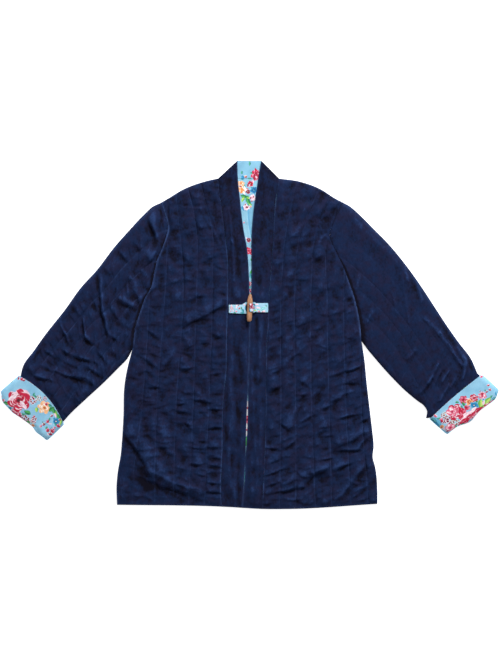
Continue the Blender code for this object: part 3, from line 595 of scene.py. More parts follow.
RIGHT = SidePattern(
    shoulder=Line(((38, 64), (45, 110), (62, 155), (80, 183), (90, 202))),
    armhole=Line((
        (90, 202), (103, 193), (130, 181), (160, 173), (200, 189), (229, 203),
        (261, 215), (290, 225), (322, 233), (350, 238), (387, 241),
    )),
    edge=Line((
        (387, 241), (424, 247), (475, 252), (510, 256), (544, 260), (578, 264), (613, 267),
        (636, 265), (655, 270), (707, 275), (735, 275),
    )),
    seam=Line((
        (38, 64), (101, 55), (161, 52), (237, 47), (297, 42), (350, 40), (396, 37),
        (492, 36), (615, 34), (694, 30), (746, 28),
    )),
    free=Line((
        (0, 26), (24, 22), (56, 17), (105, 10), (153, 6), (256, 5.5), (284, 4.5), (344, 1.85),
        (406, 0.57), (470, -1.43), (496, -1.85), (512, -1.85), (530, -2.1), (558, -2.8), (587, -4),
        (606, -5.25), (626, -6.9), (650, -8.13), (668, -8.35), (684, -9.2), (700, -10.7),
        (743, -14.33),
    )),
    quilting=(
        Line(((42, 105), (67, 98), (129, 84), (174, 77), (234, 72), (546, 69), (741, 66))),
        Line(((60, 150), (103, 132), (131, 119), (170, 107), (234, 101), (546, 101), (741, 101))),
        Line(((82, 172), (138, 148), (190, 137), (234, 135), (546, 135), (741, 143))),
        Line(((90, 192), (168, 168), (299, 168), (546, 173), (741, 178))),
        Line(((90, 212), (277, 204), (546, 209), (741, 219))),
        Line(((90, 232), (387, 239), (546, 242), (707, 254), (741, 256))),
    ),
    sleeve_top=Line((
        (90, 202), (97, 215), (114, 235), (148, 269), (183, 303), (217, 331), (252, 357),
        (286, 380), (320, 402), (355, 425), (389, 449), (424, 475), (456, 489),
    )),
    sleeve_under=Line((
        (387, 241), (407, 256), (425.5, 271.5), (459.5, 301.5), (493.5, 335.5), (514, 360),
        (525, 374.5), (535, 380.5), (552, 378.5),
    )),
    cuff=CuffPattern((457, 499), (553, 386), (491, 536), (587, 424), 3, (
        (0, 0.3), (0.05, 3), (0.1, 7), (0.15, 9), (0.22, 8.4), (0.35, 6.6), (0.42, 6.2), (0.5, 7.8),
        (0.58, 10.3), (0.64, 10), (0.7, 7), (0.76, 3), (0.82, 0), (0.9, -0.9), (0.96, -0.6), (1, 0),
    )),
)  # fmt: skip

# The creases that show, by place. Each row is from, to, width and height
# Painted shadow bands on the left front: they darken its colour and leave its shape
LEFT_FRONT_SHADOWS = crease_table(
    (672, -240, 693, -212, 12, 0.7), (693, -212, 704, -166, 13, 0.8), (704, -166, 722, -118, 11, 0.8),
)  # fmt: skip
LEFT_FRONT_CREASES = crease_table(
    (582, -246, 650, -194, 15, 2.6), (640, -248, 684, -206, 11, -2.4), (590, -262, 668, -211, 6, -3.6),
    (660, -216, 690, -170, 8, -2), (676, -243, 699, -191, 14, -4.6), (694, -200, 724, -112, 14, -5.4),
    (664, -213, 682, -174, 8, 1.8), (686, -170, 705, -105, 8, 1.6), (312, -58, 331, -90, 5, -2.6),
    (333, -95, 357, -140, 5, -2.6), (298, -60, 338, -130, 12, 2.2), (424, -168, 449, -187, 5, -2.6),
    (417, -239, 436, -209, 6, -2.2), (460, -80, 456, -58, 4.5, -2.4), (445, -148, 445, -127, 5, -2),
    (535, -157, 542, -127, 5.5, -2.8), (516, -114, 520, -88, 5, -2.8), (464, -254, 467, -234, 5, -2),
    (557, -135, 578, -123, 5, -2.2), (540, -183, 544, -168, 5, -1.7), (522, -153, 522, -135, 4.5, -1.8),
    (533, -86, 535, -60, 4, -2.6), (574, -88, 572, -60, 4, -2.8), (613, -88, 615, -62, 4, -2.5),
    (636, -86, 639, -64, 4, -2.5), (656, -88, 658, -62, 4, -2.5), (671, -88, 669, -60, 4, -2.4),
    (690, -88, 692, -64, 4, -2.4), (710, -88, 712, -60, 4, -2.8), (615, -123, 617, -95, 4.5, -2.8),
    (651, -123, 654, -103, 4, -2.2), (671, -112, 677, -92, 4, -2), (600, -108, 602, -90, 4, -1.8),
    (370, -80, 381, -58, 5, -2), (477, -213, 492, -191, 6, -1.5), (514, -228, 518, -209, 5, -1.6),
    (613, -189, 626, -170, 6, -1.5), (363, -221, 376, -196, 6, -1.8), (404, -135, 398, -123, 4.5, -1.7),
    (393, -105, 389, -90, 4.5, -1.5), (299, -127, 290, -97, 6, -1.8), (267, -174, 256, -148, 6, -1.5),
    (217, -99, 206, -75, 6, -1.5), (196, -157, 217, -131, 7, -1.5), (282, -213, 264, -191, 6, -1.6),
    (170, -75, 161, -58, 6, -1.4), (140, -114, 153, -92, 6, -1.3), (206, -200, 262, -206, 13, 2.6),
    (99, -142, 101, -104, 2.8, 0.6), (101, -104, 140, -82, 2.8, 0.7), (140, -82, 191, -58, 2.8, 0.7),
    (69, -70, 116, -66, 2.8, 0.6), (112, -84, 160, -66, 3, -0.7), (120, -70, 190, -54, 3, -0.6),
)  # fmt: skip
RIGHT_FRONT_CREASES = crease_table(
    (460, 45, 447, 67, 5, -2.8), (494, 45, 484, 67, 5, -2.8), (432, 84, 415, 103, 5, -2.4),
    (514, 105, 499, 123, 4.5, -2.2), (559, 116, 546, 138, 5, -2.8), (462, 176, 454, 204, 5, -2.2),
    (454, 211, 439, 243, 4.5, -2.6), (479, 206, 477, 234, 4.5, -2.2), (516, 178, 501, 206, 5, -2.2),
    (538, 150, 522, 178, 5, -2.8), (555, 189, 544, 234, 5.5, -3.2), (563, 236, 550, 256, 4.5, -2.6),
    (615, 80, 600, 101, 5, -2.4), (574, 153, 570, 172, 5, -2.4), (591, 157, 589, 176, 4.5, -2),
    (624, 187, 619, 234, 5.5, -3.2), (619, 234, 591, 258, 5.5, -3.2), (605, 190, 578, 246, 11, 2.4),
    (643, 153, 636, 181, 5, -2.4), (662, 181, 651, 219, 5, -2.6), (688, 219, 656, 249, 6, -3.2),
    (684, 142, 675, 174, 6, -2.8), (733, 183, 692, 221, 6, -3.2), (710, 67, 701, 112, 6, -2.6),
    (701, 112, 671, 140, 7, -3.2), (671, 140, 656, 170, 6, -2.8), (688, 76, 655, 160, 12, 2),
    (615, 37, 619, 62, 4.5, -2.6), (645, 52, 639, 67, 4, -2), (673, 41, 662, 69, 4, -2.4),
    (697, 39, 690, 64, 4, -2.6), (714, 41, 710, 69, 4, -2.2), (331, 172, 322, 202, 5.5, -2),
    (387, 86, 344, 133, 7, -2.4), (559, 60, 578, 88, 5, -1.8), (533, 75, 518, 88, 5, -2.4),
    (553, 95, 525, 108, 5, -2), (471, 108, 484, 127, 5, -2), (514, 135, 501, 148, 4.5, -2),
    (385, 118, 372, 144, 6, -1.7), (385, 54, 372, 75, 6, -1.8), (664, 101, 677, 118, 5, -1.8),
    (729, 84, 725, 110, 5, -2), (720, 118, 703, 140, 5, -2), (716, 230, 699, 252, 5, -2),
    (396, 196, 385, 221, 6, -1.7), (417, 148, 402, 170, 6, -1.7), (282, 157, 267, 183, 7, -1.6),
    (299, 73, 282, 92, 6, -1.6), (217, 135, 204, 161, 7, -1.5), (180, 149, 166, 154, 4, 0.9),
    (166, 154, 162, 163, 4, 0.9), (162, 163, 168, 172, 4, 0.8), (299, 206, 290, 226, 6, -1.5),
    (191, 88, 176, 110, 7, -1.4), (230, 56, 217, 73, 6, -1.3),
)  # fmt: skip
LEFT_SLEEVE_CREASES = crease_table(
    (247, -319, 290, -317, 4, 1.3), (249, -324, 295, -320, 4.6, -2.4), (290, -314, 329, -311, 4.5, 1.7),
    (295, -319, 333, -315, 4, -2.4), (331, -310, 366, -301, 4.5, 1.4), (333, -315, 372, -303, 4, -2.2),
    (118, -217, 170, -198, 6.5, -3.8), (110, -207, 161, -195, 5, 1.4), (95, -191, 146, -178, 3.5, -2.6),
    (196, -277, 215, -262, 6, -2.8), (314, -378, 329, -367, 7, -2.4), (393, -447, 424, -464, 6.5, -2.8),
    (340, -406, 387, -388, 2.8, 1.3), (338, -353, 372, -349, 2.8, 1.2), (372, -349, 391, -338, 2.8, 1),
    (342, -356, 372, -353, 3.6, -1.8), (404, -403, 419, -385, 4.5, -2.8), (417, -382, 435, -328, 4, -3),
    (452, -413, 479, -335, 4, -3.2), (375, -355, 393, -334, 4.5, -3), (439, -353, 463, -313, 4, -2.4),
    (460, -464, 473, -424, 5, -3.2), (292, -277, 311, -242, 4, 1.7), (301, -280, 318, -245, 4, -2.6),
    (273, -249, 318, -230, 6, -2.6), (269, -259, 288, -259, 3, 1.3), (376, -299, 387, -282, 3.5, -2.4),
    (411, -325, 432, -307, 4, -2.2), (249, -254, 264, -241, 3.5, 1.4), (234, -232, 247, -219, 3.5, 1.4),
    (262, -226, 277, -211, 5, -2.4), (196, -202, 217, -213, 4, 1.3), (200, -221, 217, -209, 5, -2.2),
    (370, -402, 378, -389, 4.5, -1.8), (411, -434, 421, -417, 4.5, -2), (230, -314, 241, -299, 5, -2),
    (316, -295, 338, -282, 4, -1.8), (346, -282, 357, -262, 4.5, -2.2),
    (460, -372, 469, -346, 3.5, -1.8), (299, -335, 318, -327, 5, -2.2),
    (432, -393, 443, -368, 3.5, -1.8), (406, -303, 415, -286, 4, -2), (372, -269, 378, -254, 4, -1.8),
    (441, -441, 452, -424, 4.5, -2.2), (181, -245, 196, -232, 5, -2),
)  # fmt: skip
RIGHT_SLEEVE_CREASES = crease_table(
    (209, 329, 230, 338, 4.5, -3), (230, 334, 254, 340, 4, 1.8), (254, 355, 290, 368, 6, -3.8),
    (275, 362, 301, 370, 4, 1.8), (335, 411, 391, 447, 6, -3.6), (339, 377, 370, 408, 3.5, 1.4),
    (370, 408, 436, 456, 3.5, 2), (398, 447, 421, 459, 4, 1.8), (426, 463, 467, 459, 4, 2.6),
    (426, 475, 460, 488, 7.5, -4.4), (475, 385, 436, 404, 4, 2.2), (472, 413, 452, 425, 4, 2.2),
    (494, 370, 464, 393, 4, 1.6), (511, 408, 479, 425, 3.5, 1.6), (484, 430, 467, 441, 3.5, 1.6),
    (482, 398, 449, 413, 3.5, -2), (343, 253, 322, 264, 4, 1.7), (273, 232, 249, 236, 5, 1.2),
    (284, 307, 327, 315, 3, 0.7), (241, 327, 346, 342, 3, 0.8), (421, 342, 406, 355, 4.5, 1.4),
    (99, 211, 140, 239, 6, 1.3), (153, 258, 230, 333, 7, 1.1), (105, 221, 131, 230, 5, -1.2),
    (396, 458, 454, 471, 5, 1.6),
)  # fmt: skip
LEFT_CUFF_CREASES = crease_table(
    (565, -462, 577, -447, 3, -1.4), (505, -522, 520, -508, 5, -0.9), (541, -491, 552, -470, 5, -0.9),
    (496, -498, 512, -478, 7, 0.8), (580, -436, 570, -420, 6, 0.8),
)  # fmt: skip
RIGHT_CUFF_CREASES = crease_table(
    (563, 460, 546, 471, 3, -1.4), (537, 492, 526, 508, 4, -1), (500, 508, 484, 522, 6, 0.8),
    (566, 430, 548, 440, 5, -0.9), (556, 412, 542, 424, 6, 0.8),
)  # fmt: skip
LEFT_BAND_CREASES = crease_table(
    (104, -43, 176, -36, 2.6, 1.5), (172, -36, 256, -31, 2.8, 1.8), (120, -26, 300, -14, 8, -1),
)  # fmt: skip
RIGHT_BAND_CREASES = crease_table((120, 30, 210, 24, 5, -0.6))


# ---------------------------------------------------------------- finishes


class Graph:
    """A node tree being wired. Each method adds nodes and gives the socket to go on from."""

    def __init__(self, tree: bpy.types.NodeTree) -> None:
        """Starts on a tree."""
        self.tree = tree

    def add(self, kind: str, *values: object, out: int = 0, **settings: object) -> Socket:
        """Adds one node.

        Args:
            kind: the node's type, after the word ShaderNode.
            values: sockets or constants for its inputs, in order. None leaves one as it is.
            out: which output is wanted.
            settings: the node's own properties.

        Returns:
            The output.
        """
        node = self.tree.nodes.new(f"ShaderNode{kind}")
        for key, value in settings.items():
            setattr(node, key, value)
        for place, value in enumerate(values):
            self.feed(node.inputs[place], value)
        return node.outputs[out]

    def feed(self, socket: Socket, value: object) -> None:
        """Links a socket to an input, or sets a constant on it.

        Args:
            socket: the input.
            value: the socket, number or colour. None leaves the input as it is.
        """
        if isinstance(value, Socket):
            self.tree.links.new(value, socket)
        elif value is not None:
            socket.default_value = (*value, 1.0) if socket.type == "RGBA" else value

    def math(self, operation: str, *values: object) -> Socket:
        """One step of arithmetic."""
        return self.add("Math", *values, operation=operation)

    def vector(self, operation: str, *values: object) -> Socket:
        """One step of vector arithmetic."""
        return self.add("VectorMath", *values, operation=operation)

    def step(self, value: object, low: float, high: float) -> Socket:
        """From 0 at low to 1 at high, smoothly."""
        return self.add("MapRange", value, low, high, interpolation_type="SMOOTHSTEP")

    def spread(self, value: object, low: float, high: float) -> Socket:
        """From 0 and 1 to low and high, straight."""
        return self.add("MapRange", value, 0.0, 1.0, low, high)

    def mix(self, share: object, first: object, second: object) -> Socket:
        """A colour between two.

        Args:
            share: 0 for the first and 1 for the second.
            first: the first colour.
            second: the second colour.

        Returns:
            The colour.
        """
        node = self.tree.nodes.new("ShaderNodeMix")
        node.data_type = "RGBA"
        for place, value in ((0, share), (6, first), (7, second)):
            self.feed(node.inputs[place], value)
        return node.outputs[2]

    def noise(self, place: object, scale: float, detail: float = 3.0, out: int = 0) -> Socket:
        """Fractal noise: its value, or its colour for out 1."""
        return self.add("TexNoise", place, None, scale, detail, 0.55, out=out)

    def attribute(self, name: str) -> Socket:
        """A value that the mesh carries at its points."""
        return self.add("Attribute", attribute_name=name, out=2)

    def split(self, place: Socket) -> tuple[Socket, Socket]:
        """Takes a place apart.

        Args:
            place: the place.

        Returns:
            Its x and its y.
        """
        node = self.tree.nodes.new("ShaderNodeSeparateXYZ")
        self.feed(node.inputs[0], place)
        return node.outputs[0], node.outputs[1]

    def bump(self, height: object, strength: float, distance: float) -> Socket:
        """A normal bent by a height.

        Args:
            height: the height, from 0 to 1.
            strength: share of the bend.
            distance: what a height of 1 is, in metres.

        Returns:
            The normal.
        """
        node = self.tree.nodes.new("ShaderNodeBump")
        for name, value in (("Height", height), ("Strength", strength), ("Distance", distance)):
            self.feed(node.inputs[name], value)
        return node.outputs[0]


class Surface:
    """A new material with its graph and its shader."""

    def __init__(self, name: str, **constants: object) -> None:
        """Makes it, and sets constants on the shader's own sockets.

        Args:
            name: the material's name.
            constants: values by the socket's name, written small and with underscores.
        """
        self.material = bpy.data.materials.new(name)
        self.material.use_nodes = True
        self.graph = Graph(self.material.node_tree)
        self.inputs = self.material.node_tree.nodes["Principled BSDF"].inputs
        sockets = {socket.name.lower().replace(" ", "_"): socket for socket in self.inputs}
        for key, value in constants.items():
            self.graph.feed(sockets[key], value)

    def finish(self, colour: Socket, normal: Socket | None = None) -> Material:
        """Links the colour and the normal.

        Args:
            colour: the base colour.
            normal: the bent normal, if there is one.

        Returns:
            The material.
        """
        self.graph.feed(self.inputs["Base Color"], colour)
        self.graph.feed(self.inputs["Normal"], normal)
        return self.material


@dataclass(frozen=True)
class Velvet:
    """Navy cotton velvet with a short pile and bruised patches, with painted highlight on its crests
    and painted shade in its troughs.
    """

    name: str = "navy_velvet"
    # Colours of painted shade, of painted highlight on crests and of painted sheen along the seams
    deep: Colour = (0.0048, 0.0043, 0.0105)
    blue: Colour = (0.0073, 0.0157, 0.0520)
    violet: Colour = (0.0112, 0.0130, 0.040)
    painted_crest_highlight: Colour = (0.0168, 0.0355, 0.108)
    painted_seam_sheen: Colour = (0.034, 0.062, 0.165)
    roughness: float = 0.9
    specular: float = 0.06
    sheen: float = 0.30
    sheen_roughness: float = 0.35
    sheen_tint: Colour = (0.16, 0.28, 0.80)

    def material(self) -> Material:
        """Patches, streaks and grain of the pile, painted highlight and shade from the relief, and
        painted sheen and shade along the seams.

        Returns:
            The material.
        """
        made = Surface(
            self.name, roughness=self.roughness, specular_ior_level=self.specular,
            sheen_weight=self.sheen, sheen_roughness=self.sheen_roughness, sheen_tint=self.sheen_tint,
        )  # fmt: skip
        g = made.graph
        place = g.add("TexCoord", out=3)
        patches = g.noise(place, 14.0, 5.0)
        streaks = g.noise(g.vector("MULTIPLY", place, (1.0, 0.6, 1.0)), 80.0, 4.0)
        specks = g.noise(g.vector("MULTIPLY", place, (1.0, 0.7, 1.0)), 260.0, 2.0)
        grain = g.noise(place, 900.0, 2.0)
        hue = g.noise(g.vector("ADD", place, (3.0, 1.0, 0.0)), 60.0, 4.0)
        body = g.mix(g.step(hue, 0.36, 0.68), self.blue, self.violet)
        shade = g.math("ADD", g.spread(patches, -0.5, 0.5), g.spread(streaks, -0.7, 0.7))
        shade = g.math("ADD", shade, g.spread(specks, -0.9, 0.9))
        shade = g.math("ADD", shade, g.spread(grain, -0.3, 0.3))
        # Painted shading from the relief, with the random tone of the pile: painted shade in troughs,
        # painted highlight on crests
        painted_light_and_tone = g.math("MULTIPLY_ADD", g.attribute("painted_shading"), 0.42, shade)
        colour = g.mix(g.step(painted_light_and_tone, 0.15, -1.2), body, self.deep)
        colour = g.mix(g.step(painted_light_and_tone, 0.10, 1.5), colour, self.painted_crest_highlight)
        # Painted sheen along seams and quilting lines, and painted shade beside them where the value is
        # below nought
        painted_seam_sheen = g.math("MULTIPLY", g.attribute("seam"), g.spread(streaks, -0.6, 2.2))
        colour = g.mix(g.add("Clamp", painted_seam_sheen), colour, self.painted_seam_sheen)
        dark = g.add("Clamp", g.math("MULTIPLY", painted_seam_sheen, -1.6))
        colour = g.mix(dark, colour, self.deep)
        pile = g.math("ADD", g.spread(grain, 0.0, 0.5), g.spread(streaks, 0.0, 1.0))
        return made.finish(colour, g.bump(pile, 0.5, 0.0009))


class Motif(Enum):
    """What is printed on the cotton."""

    PEONY = "peony"
    BLOSSOM = "blossom"
    BUD = "bud"
    LEAF = "leaf"
    BERRIES = "berries"
    STEM = "stem"
    PETAL = "petal"


class Dye(Enum):
    """The light, middle and dark colour of a motif."""

    RED = ((0.94, 0.68, 0.78), (0.55, 0.004, 0.045), (0.11, 0.002, 0.014))
    PINK = ((0.97, 0.84, 0.90), (0.76, 0.11, 0.22), (0.40, 0.006, 0.05))
    PEACH = ((0.97, 0.86, 0.76), (0.90, 0.40, 0.17), (0.52, 0.07, 0.015))
    TEAL = ((0.10, 0.46, 0.52), (0.010, 0.20, 0.28), (0.004, 0.06, 0.13))
    BLUE = ((0.14, 0.50, 0.72), (0.014, 0.26, 0.50), (0.008, 0.12, 0.34))
    GREEN = ((0.07, 0.40, 0.10), (0.010, 0.19, 0.06), (0.004, 0.07, 0.03))
    CRIMSON = ((0.89, 0.32, 0.46), (0.58, 0.002, 0.045), (0.20, 0.001, 0.018))
    DEEP = ((0.02, 0.36, 0.62), (0.004, 0.19, 0.44), (0.003, 0.07, 0.26))
    AQUA = ((0.80, 0.93, 0.95), (0.20, 0.62, 0.66), (0.03, 0.36, 0.42))
    CREAM = ((0.98, 0.91, 0.85), (0.92, 0.47, 0.22), (0.50, 0.11, 0.02))
    LIME = ((0.56, 0.78, 0.18), (0.18, 0.50, 0.07), (0.02, 0.22, 0.05))
    MINT = ((0.10, 0.48, 0.32), (0.010, 0.22, 0.15), (0.005, 0.09, 0.07))
    WINE = ((0.94, 0.78, 0.86), (0.34, 0.006, 0.06), (0.12, 0.003, 0.03))
    WHITE = ((0.97, 0.94, 0.95), (0.90, 0.62, 0.73), (0.62, 0.12, 0.24))
    SNOW = ((0.97, 0.96, 0.96), (0.94, 0.90, 0.92), (0.86, 0.60, 0.68))
    RUST = ((0.93, 0.42, 0.14), (0.84, 0.23, 0.05), (0.48, 0.07, 0.01))
    GARNET = ((0.60, 0.02, 0.09), (0.30, 0.003, 0.035), (0.12, 0.001, 0.02))
    MIXED = ((0.93, 0.93, 0.90), (0.02, 0.24, 0.18), (0.42, 0.008, 0.06))


@dataclass(frozen=True)
class Printed:
    """One motif: its place on the cloth, half its size, its turn in degrees and its dye."""

    motif: Motif
    x: float
    y: float
    size: float
    turn: float
    dye: Dye


class Brush:
    """Paints one motif over the colour under it, in a frame of its own where its half is 1."""

    def __init__(self, tree: bpy.types.NodeTree) -> None:
        """Works out x, y, the distance from the middle and the angle in the motif's frame.

        Args:
            tree: the motif's node group, with its inputs.
        """
        self.g = g = Graph(tree)
        given = tree.nodes.new("NodeGroupInput").outputs
        self.under, self.light = given["Under"], given["Light"]
        self.middle, self.dark = given["Middle"], given["Dark"]
        self.size = given["Size"]
        turned = g.add(
            "VectorRotate", given["Place"], given["Centre"], None, given["Turn"],
            rotation_type="Z_AXIS",
        )  # fmt: skip
        near = g.vector("SUBTRACT", turned, given["Centre"])
        near = g.vector("SCALE", near, None, None, g.math("DIVIDE", 1.0, self.size))
        self.x, self.y = g.split(near)
        squares = g.math("MULTIPLY", self.x, self.x), g.math("MULTIPLY", self.y, self.y)
        self.far = g.math("SQRT", g.math("ADD", *squares))
        self.angle = g.math("ARCTAN2", self.y, self.x)

    def ring(self, under: Socket, streak: Socket, shape: tuple) -> Socket:
        """One ring of petals: dark at the heart and between them, light along each one's edge.

        A petal's edge lies at radius (1 - 0.3 a squared), where a runs from -1 to 1 across it.

        Args:
            under: the colour under the ring.
            streak: unevenness that moves the borders of the colours.
            shape: radius, number of petals, turn as a share of a petal, and where the light edge
                starts as a share of the radius.

        Returns:
            The colour with the ring painted on it.
        """
        g = self.g
        radius, petals, offset, rim = shape
        part = g.math("FRACT", g.math("MULTIPLY_ADD", self.angle, petals / (2 * math.pi), offset))
        side = g.math("MULTIPLY_ADD", part, 2.0, -1.0)
        square = g.math("MULTIPLY", side, side)
        edge = g.math("MULTIPLY_ADD", square, -0.3 * radius, radius)
        share = g.math("DIVIDE", self.far, edge)
        uneven = g.math("ADD", share, streak)
        hue = g.mix(g.step(uneven, 0.26, 0.66), self.dark, self.middle)
        border = g.step(g.math("MULTIPLY_ADD", square, -0.12, uneven), rim, rim + 0.12)
        hue = g.mix(border, hue, self.light)
        hue = g.mix(g.math("MULTIPLY", g.step(square, 0.70, 0.98), 0.8), hue, self.dark)
        return g.mix(g.step(share, 1.02, 0.97), under, hue)

    def streak(self) -> Socket:
        """Noise about nought, of its own for each size of flower."""
        place = self.g.add("CombineXYZ", self.x, self.y, self.size)
        return self.g.spread(self.g.noise(place, 2.4, 2.0), -0.55, 0.55)

    def peony(self) -> Socket:
        """Four rings of petals and a dark heart.

        Returns:
            The colour with the motif on it.
        """
        colour, streak = self.under, self.streak()
        for shape in (
            (1.0, 6.0, 0.1, 0.97), (0.80, 5.0, 0.45, 0.84),
            (0.58, 4.0, 0.9, 0.72), (0.36, 3.0, 0.3, 0.82),
        ):  # fmt: skip
            colour = self.ring(colour, streak, shape)
        return self.g.mix(self.g.step(self.far, 0.17, 0.11), colour, self.dark)

    def blossom(self) -> Socket:
        """Five petals round a pale eye.

        Returns:
            The colour with the motif on it.
        """
        g = self.g
        colour = self.ring(self.under, self.streak(), (1.0, 5.0, 0.2, 0.86))
        colour = g.mix(g.step(self.far, 0.30, 0.24), colour, self.dark)
        return g.mix(g.step(self.far, 0.16, 0.10), colour, (0.95, 0.86, 0.55))

    def bud(self) -> Socket:
        """A drop with a pale foot, a full middle and a dark tip.

        Returns:
            The colour with the motif on it.
        """
        g = self.g
        edge = g.math("MULTIPLY_ADD", g.math("COSINE", self.angle), -0.30, 0.70)
        mask = g.step(g.math("DIVIDE", self.far, edge), 1.0, 0.93)
        hue = g.mix(g.step(self.x, -0.75, -0.1), self.light, self.middle)
        hue = g.mix(g.step(g.math("ABSOLUTE", self.y), 0.16, 0.04), hue, self.dark)
        return g.mix(mask, self.under, hue)

    def blade(self, half: float) -> Socket:
        """Half the width of a pointed blade: half (1 - x squared)."""
        return self.g.math("MULTIPLY_ADD", self.g.math("MULTIPLY", self.x, self.x), -half, half)

    def leaf(self) -> Socket:
        """A pointed, toothed blade with one half lighter and a pale rib.

        Returns:
            The colour with the motif on it.
        """
        g = self.g
        teeth = g.math("MULTIPLY", g.math("SINE", g.math("MULTIPLY", self.x, 22.0)), 0.03)
        beside = g.math("ABSOLUTE", self.y)
        inside = g.math("SUBTRACT", g.math("ADD", self.blade(0.50), teeth), beside)
        hue = g.mix(g.step(self.y, -0.02, 0.03), self.middle, self.light)
        hue = g.mix(g.step(inside, 0.12, 0.02), hue, self.dark)
        hue = g.mix(g.step(beside, 0.035, 0.015), hue, self.light)
        return g.mix(g.step(inside, 0.0, 0.03), self.under, hue)

    def berries(self) -> Socket:
        """Scattered round berries, each in a pale halo.

        Returns:
            The colour with the motif on it.
        """
        g = self.g
        place = g.add("CombineXYZ", self.x, self.y, self.size)
        dots = g.add("TexVoronoi", place, None, 2.0, voronoi_dimensions="2D")
        fade = g.step(self.far, 1.0, 0.8)
        colour = self.under
        rings = (0.60, 0.50, self.light), (0.42, 0.36, self.middle), (0.33, 0.26, self.dark)
        for low, high, hue in rings:
            colour = g.mix(g.math("MULTIPLY", g.step(dots, low, high), fade), colour, hue)
        return colour

    def stem(self) -> Socket:
        """A thin bent twig: part of a circle.

        Returns:
            The colour with the motif on it.
        """
        g = self.g
        off = g.math("ABSOLUTE", g.math("SUBTRACT", self.far, 0.9))
        reach = g.step(g.math("ABSOLUTE", self.angle), 0.95, 0.85)
        mask = g.math("MULTIPLY", g.step(off, 0.075, 0.045), reach)
        return g.mix(mask, self.under, self.middle)

    def petal(self) -> Socket:
        """A long petal, streaked along its length between its three colours.

        Returns:
            The colour with the motif on it.
        """
        g = self.g
        inside = g.math("SUBTRACT", self.blade(0.40), g.math("ABSOLUTE", self.y))
        place = g.add("CombineXYZ", self.x, g.math("MULTIPLY", self.y, 4.5), self.size)
        streak = g.noise(place, 1.6, 1.0)
        hue = g.mix(g.step(streak, 0.30, 0.38), self.dark, self.middle)
        hue = g.mix(g.step(streak, 0.55, 0.62), hue, self.light)
        return g.mix(g.step(inside, 0.0, 0.04), self.under, hue)


class MotifDrawer:
    """Makes one node group for each motif, the first time that it is asked for."""

    INPUTS = {
        "Color": "Under Light Middle Dark",
        "Vector": "Place Centre",
        "Float": "Size Turn",
    }

    def __init__(self) -> None:
        """Starts with no group made."""
        self.made: dict[Motif, bpy.types.NodeTree] = {}

    def group(self, motif: Motif) -> bpy.types.NodeTree:
        # The neck print's ground and tone are darker than the cuffs': painted shade over the neck's
        # cotton
        """The node group that paints a motif over the colour under it.

        Args:
            motif: what it paints.

        Returns:
            The group.
        """
        if motif not in self.made:
            self.made[motif] = tree = bpy.data.node_groups.new(motif.value, "ShaderNodeTree")
            new = tree.interface.new_socket
            for kind, names in self.INPUTS.items():
                for name in names.split():
                    new(name=name, in_out="INPUT", socket_type=f"NodeSocket{kind}")
            new(name="Color", in_out="OUTPUT", socket_type="NodeSocketColor")
            brush = Brush(tree)
            drawn = getattr(brush, motif.value)()
            brush.g.feed(tree.nodes.new("NodeGroupOutput").inputs[0], drawn)
        return self.made[motif]


@dataclass(frozen=True)
class FlowerPrint:
    """Sky-blue cotton printed with flowers. The motifs repeat on the cell low to high."""

    name: str
    motifs: tuple[Printed, ...]
    low: tuple[float, float]
    high: tuple[float, float]
    ground: Colour = (0.295, 0.585, 0.785)
    shade: Colour = (0.225, 0.50, 0.70)
    # Colour of painted shade, where the mesh carries a painted shade value
    painted_fold_shade: Colour = (0.08, 0.33, 0.55)
    velvet: Colour = (0.010, 0.018, 0.058)
    roughness: float = 0.8
    thread: float = 0.55
    chained: float = 1e-7

    def material(self, drawer: MotifDrawer) -> Material:
        """Builds the print in painting order over the ground, with the weave over all.

        Each motif's place takes in a ten millionth of the colour under it, so that the renderer
        works the motifs out one after the other and has room for them all.

        Args:
            drawer: makes the motifs' node groups.

        Returns:
            The material.
        """
        made = Surface(self.name, roughness=self.roughness, sheen_weight=0.08)
        g = made.graph
        cloth = g.add("UVMap", uv_map="cloth")
        ends = tuple(zip(g.split(cloth), self.high, self.low))
        place = g.add("CombineXYZ", *(g.math("WRAP", *end) for end in ends), 0.0)
        for scale, reach in ((0.07, 5.0), (0.24, 2.2)):
            wobble = g.vector("SUBTRACT", g.noise(place, scale, 1.0, out=1), (0.5, 0.5, 0.5))
            place = g.vector("MULTIPLY_ADD", wobble, (reach, reach, 0.0), place)
        colour = g.mix(g.step(g.noise(place, 0.035, 3.0), 0.40, 0.66), self.ground, self.shade)
        # Painted shade from the mesh: along and past the lining's crease, and lightly over the collar
        colour = g.mix(g.attribute("painted_fold_shade"), colour, self.painted_fold_shade)
        for printed in self.motifs:
            node = g.tree.nodes.new("ShaderNodeGroup")
            node.node_tree = drawer.group(printed.motif)
            centre, turn = (printed.x, printed.y, 0.0), math.radians(-printed.turn)
            given = colour, *printed.dye.value, place, centre, printed.size, turn
            for socket, value in zip(node.inputs, given):
                g.feed(socket, value)
            colour = node.outputs[0]
            place = g.vector("MULTIPLY_ADD", colour, (self.chained, self.chained, 0.0), place)
        threads = 2 * math.pi / self.thread
        waves = (g.math("SINE", g.math("MULTIPLY", end[0], threads)) for end in ends)
        weave = g.math("MULTIPLY", *waves)
        slub = g.noise(g.vector("MULTIPLY", cloth, (0.15, 2.2, 1.0)), 1.0, 2.0)
        tone = g.math("ADD", g.math("MULTIPLY", weave, 0.035), g.spread(slub, 0.90, 1.08))
        colour = g.vector("SCALE", colour, None, None, tone)
        colour = g.mix(g.attribute("turned"), colour, self.velvet)
        return made.finish(colour, g.bump(g.math("ADD", weave, slub), 0.35, 0.0002))


